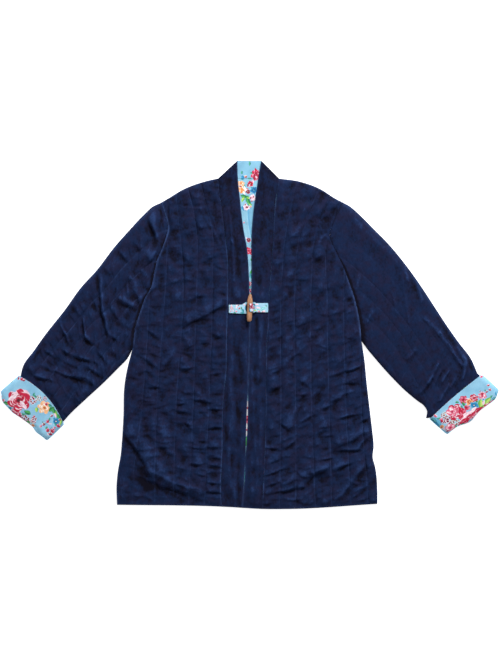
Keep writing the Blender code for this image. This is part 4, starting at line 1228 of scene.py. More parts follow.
@dataclass(frozen=True)
class Wood:
    """Light brown turned wood, its grain along the piece, oiled and darker at the ends."""

    name: str = "toggle_wood"
    light: Colour = (0.55, 0.285, 0.155)
    dark: Colour = (0.25, 0.105, 0.045)
    end: Colour = (0.30, 0.15, 0.06)
    middle: float = 57.1
    half: float = 30.0

    def material(self) -> Material:
        """Streaks along Y, pores, and a darker tone towards the two ends.

        Returns:
            The material.
        """
        made = Surface(self.name, roughness=0.48, coat_weight=0.12, coat_roughness=0.35)
        g = made.graph
        place = g.add("TexCoord", out=3)
        grain = g.noise(g.vector("MULTIPLY", place, (1.0, 0.06, 1.0)), 900.0, 4.0)
        pores = g.noise(g.vector("MULTIPLY", place, (1.0, 0.12, 1.0)), 3200.0, 2.0)
        colour = g.mix(g.step(grain, 0.36, 0.66), self.dark, self.light)
        colour = g.mix(g.step(pores, 0.62, 0.72), colour, self.dark)
        along = g.math("ABSOLUTE", g.math("SUBTRACT", g.split(place)[1], self.middle * MM))
        colour = g.mix(g.step(along, self.half * 0.82 * MM, self.half * 1.02 * MM), colour, self.end)
        return made.finish(colour, g.bump(grain, 0.3, 0.0003))


def print_table(*rows: tuple) -> tuple[Printed, ...]:
    """Motifs in painting order, from rows of motif, x, y, half its size, turn and dye."""
    return tuple(Printed(*row) for row in rows)


P, B, U, L, R, S, T = Motif
(
    RED, PINK, PEACH, TEAL, BLUE, GREEN, CRIMSON, DEEP, AQUA,
    CREAM, LIME, MINT, WINE, WHITE, SNOW, RUST, GARNET, MIXED,
) = Dye

# Motifs of the cuffs: x runs along the free edge from the upper side, y towards the fold
LEFT_CUFF_PRINT = print_table(
    (U, 4, 1, 4.4, 151, WINE), (U, 11, -2, 4.8, 100, CRIMSON), (U, 17, -4, 4.6, 51, WINE),
    (L, -3, 8, 4.6, 70, MINT), (L, 0, 17, 4.6, 80, MINT), (U, 13, -10, 2.7, 11, WINE),
    (U, 9, 54, 3.4, -9, WINE), (U, 18, 59, 5, 151, PINK), (U, 20, 65, 3.2, 41, RED),
    (L, 28, 57, 7.3, -29, GREEN), (L, 41, 60, 6.8, 11, TEAL), (L, 29, 64, 5, 11, MINT),
    (P, 57, 59, 13, -9, PINK), (U, 51, 60, 5.9, 51, RED), (U, 68, 54, 5.5, 110, RED),
    (L, 74, 37, 8.2, 161, GREEN), (L, 71, 45, 5.9, 151, MINT), (R, 80, 50, 9.6, -49, WINE),
    (R, 94, 48, 9.6, -19, MIXED), (R, 95, 38, 7.3, 11, WINE), (B, 101, 48, 4.3, -49, PEACH),
    (L, 89, 50, 4.6, -19, GREEN), (U, 90, 34, 3.4, 11, RED), (R, 61, 11, 10, -49, WINE),
    (R, 67, -2, 7.3, -9, MIXED), (R, 77, -11, 5.9, 31, WINE), (L, 54, 1, 4.3, -110, MINT),
    (L, 59, 1, 4.3, -19, MINT), (T, 37, 12, 14, -19, WHITE), (P, 41, 33, 26, -34, RED),
    (T, 28, 38, 12, -80, WHITE), (T, 55, 33, 12, 11, WHITE), (L, 82, 19, 6.8, 51, LIME),
    (P, 90, 3, 15, 1, CREAM), (U, 88, -4, 4.4, 51, CRIMSON), (L, 103, -6, 8.6, -90, GREEN),
    (L, 96, -9, 6, -19, MINT), (L, 114, -7, 9.6, 11, LIME), (L, 128, -5, 9.4, 21, GREEN),
    (L, 109, -7, 7.6, 31, GREEN), (L, 137, -1, 7, 51, LIME), (T, 118, -3, 6.6, 11, WHITE),
    (B, 129, 5, 8.2, -49, BLUE), (U, 115, 4, 4.3, 11, WINE), (U, 118, 18, 5.2, -19, CRIMSON),
    (U, 117, 29, 5.2, 11, WINE), (U, 114, 36, 4.1, -29, PINK), (S, 113, 21, 7.3, 70, MINT),
    (S, 127, 24, 6.8, 11, MINT), (L, 116, 12, 4.6, 51, MINT), (L, 125, 31, 4.1, 70, MINT),
    (U, 140, 9, 6, 60, CRIMSON), (U, 133, -3, 3.4, 11, WINE), (U, 132, 32, 6.2, 11, CRIMSON),
    (U, 139, 26, 6.6, 90, CRIMSON), (U, 141, 34, 6.2, 51, WINE), (U, 138, 16, 3.6, -39, PINK),
    (L, 132, 10, 4.3, 21, MINT), (T, 124, 19, 4.6, -29, WHITE), (T, 136, 38, 3.6, 11, WHITE),
)  # fmt: skip
RIGHT_CUFF_PRINT = print_table(
    (U, 3, 5, 4.6, 73, PINK), (U, 7, 29, 3.9, 73, RED), (U, 12, 38, 4.3, 19, RED),
    (U, 20, 38, 3.9, 73, WINE), (U, 29, 27, 2.7, 73, WINE), (L, 20, 33, 3, 73, MINT),
    (L, 8, 52, 4.6, 73, BLUE), (L, 19, 59, 7.3, 180, TEAL), (L, 21, 51, 4.6, 180, MINT),
    (T, 27, 61, 8.2, 169, RED), (P, 32, 37, 8.9, 93, PINK), (U, 29, 34, 5, 46, RED),
    (U, 35, 44, 2.5, 136, BLUE), (L, 33, 53, 11, 14, LIME), (L, 47, 47, 11, 37, LIME),
    (T, 41, 51, 7.3, 28, WHITE), (L, 48, 37, 5, 46, GREEN), (L, 38, 60, 6.8, -11, GREEN),
    (L, 49, 56, 7.7, -11, LIME), (P, 66, 17, 10, 114, CRIMSON), (P, 48, 28, 9.6, 73, RED),
    (T, 58, 23, 5.9, 114, WHITE), (B, 61, 30, 8, 136, PEACH), (B, 59, 41, 8.4, 103, BLUE),
    (L, 73, 24, 5.9, 73, GREEN), (L, 80, 12, 3.6, 136, GREEN), (L, 94, 10, 3.6, 125, GREEN),
    (U, 75, 34, 7.6, -21, CRIMSON), (L, 80, 26, 4.3, 93, MINT), (R, 117, 16, 8.7, 136, MIXED),
    (R, 120, 31, 11, 136, WINE), (R, 114, 42, 10, 136, MIXED), (R, 128, 22, 8.2, 136, WINE),
    (R, 130, 44, 9.6, 136, WINE), (P, 97, 26, 19, 64, RED), (P, 101, 21, 12, 103, PINK),
    (T, 88, 30, 11, 60, CRIMSON), (T, 84, 38, 10, 20, CRIMSON), (T, 81, 47, 15, -11, WHITE),
    (T, 94, 47, 12, 0, WHITE), (T, 94, 40, 10, 28, CRIMSON), (T, 83, 54, 15, -9, RED),
    (T, 97, 53, 15, -13, CRIMSON), (T, 62, 54, 15, -13, CRIMSON), (T, 40, 60, 11, -11, RED),
    (T, 71, 58, 10, -11, PINK), (T, 67, 47, 9.6, 0, WHITE), (L, 107, 56, 5.5, -11, MINT),
    (U, 113, 52, 4.1, 73, RED), (U, 133, 21, 6.6, 73, CRIMSON), (U, 133, 5, 4.6, 19, PINK),
    (L, 140, 17, 13, 73, BLUE), (L, 141, 9, 7.7, 83, TEAL), (B, 140, 31, 5.2, 136, PEACH),
    (T, 140, 38, 4.1, 93, WHITE), (L, 131, 13, 4.1, 136, MINT), (P, 130, 45, 10, 103, PINK),
    (U, 139, 46, 4.1, 73, WINE), (L, 121, 50, 4.3, 73, MINT), (U, 130, 52, 3.6, 37, RED),
    (L, 147, 28, 4.3, 73, MINT), (S, 132, 34, 5, 73, MINT),
)  # fmt: skip
# Motifs of the neck: x is across and y is down
NECK_PRINT = print_table(
    (L, 1, 6, 4.9, 86, MINT), (L, -16, 25, 4.3, 75, MINT), (L, 5, 27, 3.9, 60, MINT),
    (L, 1, 38, 4.7, 8, MINT), (P, 15, 31, 12, 25, CRIMSON), (T, 14, 22, 7.7, 82, CRIMSON),
    (T, 18, 37, 6.9, 100, CRIMSON), (T, 15, 29, 4.1, 70, PINK), (U, 12, 40, 4.7, 200, CRIMSON),
    (T, 20, 26, 5.6, 80, WINE), (T, 11, 33, 5.6, 110, GARNET), (T, 16, 36, 4.2, 60, WHITE),
    (T, 15, 27, 5.4, 70, GARNET), (T, 20, 33, 4.6, 95, GARNET), (L, -13, 37, 5.4, 80, DEEP),
    (L, -15, 40, 3.4, 40, TEAL), (U, -7, 34, 4.3, 60, WINE), (U, -8, 33, 2.8, 60, PEACH),
    (L, -10, 55, 4.7, 90, MINT), (B, 3, 49, 6.2, 20, CRIMSON), (T, 8, 45, 3.9, 60, WHITE),
    (U, -2, 52, 4.3, 200, WINE), (P, -17, 50, 7.2, 20, CREAM), (P, -16, 63, 8.2, 80, CREAM),
    (T, -17, 48, 4.8, 60, RUST), (T, -15, 62, 6, 40, RUST), (T, -17, 67, 4.5, 110, RUST),
    (T, -10, 69, 4.5, 60, SNOW), (U, -18, 56, 3.4, 90, WINE), (T, -9, 60, 6.4, 80, SNOW),
    (T, -5, 61, 5.2, 60, SNOW), (B, -2, 66, 5.6, 10, WINE), (U, -4, 60, 2.8, 60, RED),
    (B, 10, 63, 8.2, 0, DEEP), (L, 10, 63, 3.7, 50, TEAL), (L, 6, 57, 3.4, 40, TEAL),
    (L, -11, 76, 7.7, 8, GREEN), (L, -6, 78, 5.2, -30, GREEN), (L, -13, 83, 6.2, 118, LIME),
    (L, -2, 80, 5.4, -20, LIME), (L, -1, 88, 9, 52, GREEN), (L, -7, 85, 3.9, 80, MINT),
    (L, 3, 93, 4.3, 20, LIME), (P, 8, 79, 6.9, 20, WHITE), (U, 3, 80, 3.7, 60, WINE),
    (U, 10, 77, 3, 30, WINE), (U, 6, 86, 3.2, 80, WINE), (P, -5, 100, 6.9, 60, WHITE),
    (U, -4, 100, 4.3, 70, WINE), (U, -7, 94, 2.8, 60, WINE), (L, -14, 102, 6, 70, DEEP),
    (U, 4, 98, 3, 60, PEACH), (L, -1, 94, 3, 80, MINT), (U, -10, 133, 2.6, 60, PINK),
    (T, -6, 166, 3.4, 60, WHITE), (B, -1, 170, 5.2, 0, WINE), (U, -5, 188, 5.6, 230, CRIMSON),
    (P, 0, 193, 7.3, 80, CRIMSON), (T, 3, 198, 5.2, 60, CRIMSON), (L, 4, 211, 3, 80, GREEN),
    (L, 4, 239, 6.4, 100, GREEN), (L, 4, 247, 6.4, 80, TEAL), (P, 2, 264, 5.2, 0, WINE),
    (L, 2, 271, 2.6, 80, MINT), (P, 3, 280, 5.2, 0, WINE), (L, 2, 290, 4.3, 80, MINT),
    (T, -4, 522, 9, 86, SNOW), (B, -3.5, 530, 3.4, 0, CRIMSON), (T, -4, 540, 8, 86, SNOW),
    (P, -4.5, 555, 9, 20, CRIMSON), (T, -5, 569, 7, 86, SNOW), (U, -5, 577, 3.4, 60, CRIMSON),
    (T, -5.5, 584, 6, 86, SNOW), (L, -3.5, 602, 14, 88, GREEN), (L, -8, 672, 14, 88, TEAL),
    (P, 38, 345, 22, 20, RED), (L, 20, 364, 12, 40, GREEN), (P, -40, 402, 18, 60, PINK),
    (L, -24, 420, 11, -30, LIME), (B, 34, 432, 12, 0, BLUE), (P, 42, 505, 20, -20, CREAM),
    (R, -34, 490, 14, 0, WINE), (P, -42, 575, 24, 10, CRIMSON), (L, 24, 585, 12, 60, MINT),
    (P, 40, 655, 20, 50, RED), (L, -30, 660, 12, 20, LIME),
)  # fmt: skip
# Motifs of the straps: x and y from the middle of the toggle
STRAP_PRINT = print_table(
    (T, -39, -4, 3.7, 80, WHITE), (T, -35, 6, 4.1, 70, WHITE), (T, -28, -3, 4.3, 100, WHITE),
    (R, -38, 2, 4.7, 0, PINK), (U, -28, 8, 3.2, 70, PINK), (U, -22, 2, 3.2, 60, RED),
    (U, -24, -5, 2.1, 60, WINE), (L, -17, 2, 3.2, 60, GREEN), (L, -14, 7, 6.2, 62, TEAL),
    (L, -9, 1, 4, 80, BLUE), (L, -16, 12, 3.9, 10, TEAL), (T, -11, -6, 3.9, 30, WHITE),
    (L, -32, 11, 2.8, 0, MINT), (U, -41, 9, 2.1, 60, PINK), (P, 4, -2, 5.6, 30, WINE),
    (U, 6, -6, 3.4, 20, RED), (T, 2, -8, 3, 60, WHITE), (U, 10, 1, 2.8, 60, WINE),
    (L, 11, 6, 3.4, 20, LIME), (T, 5, 6, 3.7, 60, WHITE), (T, 19, 0, 5.6, 10, WHITE),
    (T, 19, 4, 7.3, -12, AQUA), (T, 30, 0, 6.9, -8, AQUA), (L, 28, 6, 4.4, -20, AQUA),
    (T, 29, 8, 4.7, 0, WHITE), (U, 20, 8, 2.6, 60, PINK), (U, 27, 9, 2.1, 60, RED),
    (T, 16, -7, 4.7, 0, WHITE), (L, 35, -4, 2.8, 60, MINT),
)  # fmt: skip


# ---------------------------------------------------------------- pieces


def dress(piece: Object, material: Material, slot: str, *nodes: str) -> None:
    """Gives a piece its material, and lets it ride on the jacket and stand for its solids.

    Args:
        piece: the finished object.
        material: what it wears.
        slot: not used.
        nodes: the solids that it stands for.
    """
    piece.data.materials.append(material)
    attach(piece, "root")
    if nodes:
        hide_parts(*nodes)
    log.info("%s: %d faces", piece.name, len(piece.data.polygons))


def slab(
    name: str,
    plan: Array,
    low: Array,
    high: Array,
    pile: dict | None = None,
    below: float = 0.0,
) -> Object:
    """A wall between an underside and an upper face, whose cloth lies as its plan does.

    Args:
        name: the object's name.
        plan: (across, down) by row and column.
        low: height of the underside.
        high: height of the upper face.
        pile: values on the upper face that shade the cloth, by name.
        below: the same values on the underside.

    Returns:
        The object.
    """
    top, bottom = placed(plan, high), placed(plan, low)[:, ::-1]
    uv = np.concatenate([plan, plan[:, ::-1], plan[:, :1]], axis=1)
    shade = {
        key: np.concatenate([value, np.full_like(value, below)], axis=1)
        for key, value in (pile or {}).items()
    }
    return cloth_mesh(name, np.concatenate([top, bottom], axis=1), uv, shade)


@dataclass
class Front:
    """One quilted front. Its columns follow the quilting lines and stop at the outer edge."""

    name: str
    node: str
    side: SidePattern
    creases: tuple[Crease, ...]
    seed: int
    tilt: float
    lines: float = 1.0
    shadows: tuple[Crease, ...] = ()
    rows: int = 380
    channel: float = 32.0
    spacing: float = 13.0
    shares: tuple[float, ...] = (
        0.0, 0.03, 0.07, 0.13, 0.21, 0.3, 0.4, 0.5, 0.6, 0.7, 0.79, 0.87, 0.93, 0.97,
    )  # fmt: skip
    puff: float = 2.5
    rim: float = 1.1

    def plan(self) -> tuple[Array, Array, Array]:
        """Solves for the points where the rows cross the columns.

        A column lies at its share between two quilting lines, a row at its share of the way
        from shoulder to hem. Each round puts the points on their columns and then on their rows.

        Returns:
            The columns' numbers with shares, and across and down.
        """
        side, sign = self.side, self.side.sign()
        lines = [side.seam, *side.quilting, side.edge]
        last = len(lines) - 1
        steps = np.array([k + share for k in range(last) for share in self.shares] + [float(last)])
        even = np.linspace(0.008, 0.992, self.rows)
        levels = np.concatenate([[0.0, 0.0015, 0.004], even, [0.996, 0.9985, 1.0]])
        column, t = np.meshgrid(steps, levels)
        cell = np.clip(column.astype(int), 0, last - 1)
        across = np.full_like(column, side.quilting[1].places[0][1])
        down = side.edge.span(t)
        for _ in range(36):
            on_lines = np.stack([line.across(down) for line in lines])
            before = np.take_along_axis(on_lines, cell[None], axis=0)[0]
            after = np.take_along_axis(on_lines, cell[None] + 1, axis=0)[0]
            across = between(before, after, column - cell)
            limit = side.outer(down) - sign * GAP
            past = ((across - limit) * sign > -0.6) | (column == last)
            across = np.where(past, limit, across) + sign * GAP * (column == 0)
            down = between(side.shoulder.down(across), HEM.down(across), t)
        return column, across, down

    def build(self, material: Material) -> None:
        """Raises the padding and the creases over the plan, and makes the panel.

        The painted shading is how far the cloth stands above its mean height near by, so crests get
        painted highlight and troughs painted shade.

        Args:
            material: the velvet.
        """
        side, right = self.side, self.side.sign() > 0
        column, across, down = self.plan()
        outline = side.outline_distance(across, down)
        beside = np.abs(side.outer(down) - across)
        inside = np.minimum(outline, beside)
        calm = ramp(inside / PINCH)
        low = between(EDGE_LOW, OVER_LINING, ramp(outline / DIP))
        gathers = puckers([side.seam, *side.quilting], self.seed, self.spacing, self.tilt)
        share = column - np.floor(column)
        edge = np.minimum(share, 1 - share) * self.channel
        bumps = 1.9 * relief(self.creases, across, down) + relief(gathers, across, down)
        bumps += 1.3 * rumples(across, down, self.seed) * (1 - np.exp(-edge / 5.0))
        puff = self.puff * channel_height(edge, share) * swell(down, column, self.seed)
        high = low + WALL + np.maximum(puff + bumps, -1.2) * calm
        high -= self.rim * (1 - rounding(inside, 2.4))
        from_seam = np.where(column < 1, share * self.channel, 99.0)
        # Painted sheen along the band seam, weaker near the shoulders; along the armhole a painted
        # highlight, or painted shade where it lies in shadow
        painted_light_and_tone = 0.5 + 0.25 * np.sin(down / 21.0) * np.sin(down / 37.0 + 1.0)
        if right:
            painted_light_and_tone *= 0.4 + 0.95 * ramp((down - 60.0) / 50.0)
        else:
            painted_light_and_tone *= 0.2 + 0.8 * ramp((down - 140.0) / 70.0)
        at_arm = ramp((side.edge.places[0][0] - down) / 20.0)
        armhole_in_shade = at_arm * ramp((265.0 - down) / 60.0) * right
        armhole = 0.95 * thread(beside - 1.6, 1.8) * (1 - armhole_in_shade) * at_arm
        armhole -= 0.9 * thread(beside, 2.2) * armhole_in_shade
        outer = np.where(at_arm > 0, armhole, 0.3 * thread(beside - 1.0))
        painted_seam_lighting = np.where(beside < 7.0, outer, painted_light_and_tone * thread(from_seam - 0.5))
        upper = 0.5 + 0.5 * ramp((down - (130.0 if right else 190.0)) / 90.0)
        # Painted light and shade beside the quilting lines, and a painted highlight along the outline
        painted_seam_lighting += self.lines * upper * stitched(column, self.channel, side.sign(), down)
        painted_seam_lighting = np.maximum(painted_seam_lighting, 0.5 * thread(outline - 1.0))
        # Painted shade towards the top and painted light towards the hem, with the painted shadow bands
        painted_shading = np.maximum(bumps - softened(bumps, 40), -2.2) - 0.55 * ramp((290.0 - down) / 190.0)
        painted_shading += 0.25 * ramp((down - 500.0) / 100.0) - relief(self.shadows, across, down)
        pile = {"painted_shading": painted_shading, "seam": painted_seam_lighting}
        piece = slab(self.name, points(across, down), low, high, pile)
        dress(piece, material, "velvet", self.node)


@dataclass
class Band:
    """One smooth front band, from the back of the neck to the hem."""

    name: str
    node: str
    side: SidePattern
    creases: tuple[Crease, ...]
    rows: int = 260
    columns: int = 26
    wall: float = 2.6
    crown: float = 1.9

    def plan(self, w: Array, t: Array) -> Array:
        """A point of the band.

        Args:
            w: share from its seam to its free edge.
            t: share from the neck to the hem.

        Returns:
            The points as (across, down).
        """
        seam, free = self.side.seam, self.side.free
        seam_down, free_down = seam.span(t), free.span(t)
        across = between(seam.across(seam_down), free.across(free_down), w)
        return points(across, between(seam_down, free_down, w))

    def build(self, material: Material) -> None:
        """A low crown between the seam and the rounded free edge, calm under the toggle.

        Args:
            material: the velvet.
        """
        w, t = np.meshgrid(eased(self.columns), np.linspace(0.0, 1.0, self.rows))
        plan = self.plan(w, t)
        across, down = plan[..., 0], plan[..., 1]
        from_hem = HEM.down(across) - down
        low = between(EDGE_LOW, OVER_LINING, ramp(from_hem / DIP))
        calm = ramp(from_hem / PINCH)
        bumps = 1.5 * relief(self.creases, across, down)
        bumps += 0.9 * rumples(across, down, len(self.name))
        streaks = rumples(across * 2.4, down * 0.4, 31 + len(self.name))
        bumps += (0.9 - 0.6 * ramp((290.0 - down) / 90.0)) * streaks
        bumps *= padding(w) * ramp((np.abs(down - TOGGLE_DOWN) - 13.0) / 14.0)
        high = low + self.wall + np.maximum(self.crown * padding(w) + bumps, -1.2) * calm
        high -= 0.9 * (1 - rounding(from_hem, 2.4))
        width = np.abs(self.side.seam.across(down) - self.side.free.across(down))
        # Painted sheen along the free edge and the hem; painted highlight on crests, painted shade in
        # troughs and towards the top
        painted_seam_lighting = np.maximum(0.55 * thread((1 - w) * width), 0.6 * thread(from_hem - 1.0))
        upper = ramp((300.0 - down) / 130.0)
        painted_shading = (1.5 - 0.6 * upper) * (bumps - softened(bumps, 30)) - 0.95 * upper
        pile = {"painted_shading": painted_shading, "seam": painted_seam_lighting}
        piece = slab(self.name, plan, low, high, pile)
        dress(piece, material, "velvet", self.node)


@dataclass
class Sleeve:
    """One sleeve as a flat tube, quilted along its length, whose end lies in its cuff."""

    name: str
    node: str
    side: SidePattern
    creases: tuple[Crease, ...]
    seed: int
    first: float = 29.0
    pitch: float = 33.0
    length: float = 560.0
    channels: int = 7
    wear: float = 1.0
    lines: float = 1.0
    rows: int = 330
    shows: float = 0.88
    calm_from: float = 0.82
    end: float = 0.86
    wall: float = 3.0
    puff: float = 2.9
    tuck: float = 6.0
    reach: float = 16.0
    middle: float = 4.6
    cuff_middle: float = 8.5
    cuff_roof: float = 10.6
    cuff_floor: float = 3.35
    shares: tuple[float, ...] = (
        0.0, 0.03, 0.08, 0.15, 0.24, 0.34, 0.45, 0.55, 0.66, 0.76, 0.85, 0.92, 0.97,
    )  # fmt: skip

    def long_edge(self, line: Line, s: float, share: Array) -> Array:
        """A long edge: its line outside the cuff, then straight on inside it.

        Args:
            line: the edge's line.
            s: where across the cuff it goes on.
            share: share of the sleeve's length.

        Returns:
            The points as (across, down).
        """
        tucked = self.side.cuff.plan(np.array([s, s]), np.array([0.04, self.end]))
        beyond = ((share - self.shows) / (1 - self.shows))[..., None]
        inside = between(*tucked, beyond)
        return np.where((share <= self.shows)[..., None], line.at(share / self.shows), inside)

    def plan(self, distance: Array, t: Array) -> tuple[Array, Array, Array]:
        """Points at a distance from the upper edge, held at the underarm seam.

        Args:
            distance: distance from the upper edge.
            t: share of the length, 0 at the armhole.

        Returns:
            The plan, and the distances to the upper and to the lower edge.
        """
        side, cuff = self.side, self.side.cuff
        tuck = self.tuck / cuff.width()
        start, stop = side.sleeve_top.places[0], side.sleeve_top.places[-1]
        axis = np.array([stop[1] - start[1], stop[0] - start[0]], float)
        axis /= np.hypot(*axis)
        edges = (
            side.armhole.at,
            lambda share: cuff.plan(tuck + (1 - 2 * tuck) * share, np.full_like(share, self.end)),
            lambda share: self.long_edge(side.sleeve_top, tuck, share),
            lambda share: self.long_edge(side.sleeve_under, 1 - tuck, share),
        )
        over = edges[3](t) - edges[2](t)
        width = np.abs(over[..., 0] * axis[1] - over[..., 1] * axis[0])
        share = self.share(distance, width)
        apart = np.array([side.sign() * -0.1, 0.0]) * (1 - t)[..., None]
        return patch(edges, share, t) + apart, share * width, (1 - share) * width

    def share(self, distance: Array, width: Array) -> Array:
        """Share of the width. What lies near the underarm seam lies on it."""
        share = np.clip(distance / width, 0.0, 1.0)
        return np.where(width * (1 - share) < 0.6, 1.0, share)

    def build(self, material: Material) -> None:
        """Rounds the roof and the floor into the two long edges, and pads the roof.

        The outside and the inside are two grids with the same columns, and the sleeve's ends
        join them. At the cuff the whole tube rises and thins.

        Args:
            material: the velvet.
        """
        steps = [share * self.first for share in self.shares]
        for k in range(self.channels - 1):
            steps += [self.first + (k + share) * self.pitch for share in self.shares]
        t = np.concatenate([[0.0, 0.004, 0.010], np.linspace(0.018, 1.0, self.rows)])[:, None]
        over = np.repeat(np.array([steps]), len(t), axis=0)
        width = self.plan(np.full_like(t, 1000.0), t)[1]
        floor_shares = (0.5 + 0.5 * np.cos(np.pi * np.linspace(0.0, 1.0, 40)))[1:-1]
        under = width * floor_shares

        lift = ramp((t - 0.73) / 0.10)
        flat = ramp((t - self.calm_from) / 0.03)
        middle = between(self.middle, self.cuff_middle, lift)
        roof = between(OVER_LINING, self.cuff_roof, lift)
        wall = between(WALL, self.wall - GAP, lift)

        plan, from_top, from_under = self.plan(over, t)
        edge = np.minimum(from_top, from_under)
        across, down = plan[..., 0], plan[..., 1]
        column = np.where(over < self.first, over / self.first, 1 + (over - self.first) / self.pitch)
        share = column % 1.0
        line = np.minimum(share, 1 - share) * self.pitch
        bumps = 1.9 * relief(self.creases, across, down)
        bumps += relief(self.gathers(width, t), across, down)
        bumps += self.wear * rumples(across, down, self.seed) * (1 - np.exp(-line / 5.0))
        bumps *= ramp(edge / 9.0)
        fullness = swell(t * self.length + 0 * over, column, self.seed)
        puff = self.puff * channel_height(line, share) * fullness
        puff = np.maximum(puff + bumps, -1.2) * (1 - flat) * ramp(t / 0.03)
        high = between(middle, roof + wall + puff, rounding(edge, self.reach))
        # Painted light and shade beside the quilting lines, and a painted highlight along the upper
        # edge
        painted_seam_lighting = self.lines * stitched(column, self.pitch, 1.0, t * self.length) * (column > 0.5)
        painted_seam_lighting = np.maximum(painted_seam_lighting, 0.35 * thread(from_top - 0.8, 2.0)) * (1 - flat)
        # Painted shadow on the sleeve beside the armhole, wider towards the underarm
        lower = np.clip(over / np.maximum(width, 1.0), 0.0, 1.0)
        away = t * (480.0 - 270.0 * lower)
        shadow = np.exp(-((away / (3.0 + 12.0 * lower**2)) ** 2))
        shadow *= 0.9 + 3.2 * ramp((lower - 0.1) / 0.5)

        low_plan, from_top, from_under = self.plan(under, t)
        edge = np.minimum(from_top, from_under)
        low = between(middle, self.cuff_floor * lift, rounding(edge, self.reach))
        outer = np.concatenate([placed(plan, high), placed(low_plan, low)], axis=1)

        share = self.share(np.concatenate([over, under], axis=1), width)
        inside = self.plan(self.wall + (width - 2 * self.wall) * share, t)[0]
        floor = np.repeat(self.wall + self.cuff_floor * lift, len(floor_shares), axis=1)
        ceiling = np.concatenate([np.repeat(roof, len(steps), axis=1), floor], axis=1)
        edge = np.minimum(share, 1 - share) * width
        height = between(middle, ceiling, rounding(edge, self.reach))
        # Painted highlight on crests and painted shade in troughs and by the armhole
        painted_shading = (bumps - softened(bumps, 40) - shadow) * (1 - flat)
        pile = {}
        for key, value in (("painted_shading", painted_shading), ("seam", painted_seam_lighting)):
            outside = np.concatenate([value, np.zeros_like(low)], axis=1)
            pile[key] = np.concatenate([outside, np.zeros_like(outside)])
        grid = np.concatenate([outer, placed(inside, height)[::-1]])
        piece = cloth_mesh(self.name, grid, pile=pile, ring=True)
        dress(piece, material, "velvet", self.node)

    def gathers(self, width: Array, t: Array) -> list[Crease]:
        """Small gathers on both sides of the quilting lines, squarely across them.

        Args:
            width: the sleeve's width on each row.
            t: share of the length on each row.

        Returns:
            The gathers as creases.
        """
        chance = np.random.default_rng(self.seed)
        found = []
        for line in range(1, self.channels):
            for side in (-1, 1):
                at = chance.uniform(0.03, 0.07)
                while at < 0.80:
                    near = self.first + (line - 1) * self.pitch + side * 1.5
                    far = near + side * chance.uniform(8.0, 17.0)
                    if far < float(np.interp(at, t[:, 0], width[:, 0])) - 8.0:
                        ends = np.array([near, far])
                        row = np.array([at, at + chance.normal(0.0, 0.008)])
                        (ax, ay), (bx, by) = self.plan(ends, row)[0]
                        size = -chance.uniform(0.5, 2.2) * self.wear
                        found.append(Crease(ay, ax, by, bx, chance.uniform(2.8, 4.6), size))
                    at += chance.uniform(0.018, 0.065)
        return found


@dataclass
class Cuff:
    """The sleeve's end turned up: a flat ring whose section hooks round the sleeve's end.

    The section's rows are share of the depth, top, bottom and inset at the sides.
    """

    name: str
    node: str
    side: SidePattern
    seed: int
    on: str
    creases: tuple[Crease, ...]
    slip: tuple[float, float] = (0.0, 0.0)
    columns: int = 110
    fine: int = 5
    middle: float = 8.5
    reach: float = 15.0
    section: tuple = (
        (0, 17, 0, 0), (0.3, 17, 0, 0), (0.6, 17, 0, 0), (0.88, 17, 0, 0),
        (0.975, 15.2, 1.8, 1), (1, 11.6, 5.4, 4.2), (0.98, 9.2, 7.8, 15), (0.88, 9.2, 7.8, 15),
        (0.78, 9.2, 7.8, 15), (0.78, 10.3, 6.75, 14), (0.9, 10.3, 6.75, 14), (0.935, 12.2, 4.8, 4.8),
        (0.9, 14, 3, 3), (0.6, 14, 3, 3), (0.3, 14, 3, 3), (0, 14, 3, 3),
    )  # fmt: skip

    def build(self, material: Material) -> None:
        """Carries the section round the flat ring, with dents in its outside.

        The ring's angle goes over the upper face and back under the lower. A row of the grid is
        one place of the section, taken between the table's rows.

        Args:
            material: the print.
        """
        cuff = self.side.cuff
        width = cuff.width()
        table = np.array(self.section)
        at = np.linspace(0.0, len(table) - 1, (len(table) - 1) * self.fine + 1)
        share, top, bottom, inset = (np.interp(at, np.arange(len(table)), values) for values in table.T)
        steps = eased(self.columns)
        rim = rounding(np.minimum(steps, 1 - steps) * width, self.reach)
        shrink = (inset / width)[:, None]
        rows = np.repeat(share[:, None], self.columns, axis=1)
        plan = cuff.plan(shrink + (1 - 2 * shrink) * steps, rows)
        outside = (at < 5.0)[:, None] * ramp(np.minimum(steps, 1 - steps) * width / 20.0)
        chance = np.random.default_rng(self.seed)
        dents = np.zeros_like(plan[..., 0])
        for length, height in ((71.0, 0.35), (33.0, 0.3), (17.0, 0.16)):
            turn = chance.uniform(-0.5, 0.5)
            where = plan[..., 0] * np.cos(turn) + plan[..., 1] * np.sin(turn)
            dents += height * np.sin(2 * np.pi * where / length + chance.uniform(0, 6))
        dents += relief(self.creases, plan[..., 0], plan[..., 1])
        dents = (dents - 0.75) * outside
        upper = between(self.middle, top[:, None], rim) + dents
        lower = between(self.middle, bottom[:, None], rim)
        grid = np.concatenate([placed(plan, upper), placed(plan, lower)[:, -2:0:-1]], axis=1)

        along = steps * width
        round_x = np.concatenate([along, 2 * width - along[-2:0:-1], [2 * width]])
        path = np.append(0.0, np.cumsum(np.hypot(np.diff(share) * cuff.depth(), np.diff(top))))
        path = np.append(path, path[-1] + 3.0)
        bows = cuff.free_bulge * 4 * steps * (1 - steps), np.interp(steps, *np.array(cuff.end_bows).T)
        bow, outset = (np.concatenate([each, each[-2:0:-1], each[:1]]) for each in bows)
        fall = np.append(np.clip(1 - share, 0.0, 1.0), 1.0)[:, None]
        down_cloth = path[:, None] - bow[None, :] * fall + outset[None, :] * (1 - fall)
        uv = np.stack(np.broadcast_arrays(round_x[None, :], down_cloth), axis=-1) - np.array(self.slip)
        piece = cloth_mesh(self.name, grid, uv, ring=True)
        dress(piece, material, "flowered_cotton", self.node)


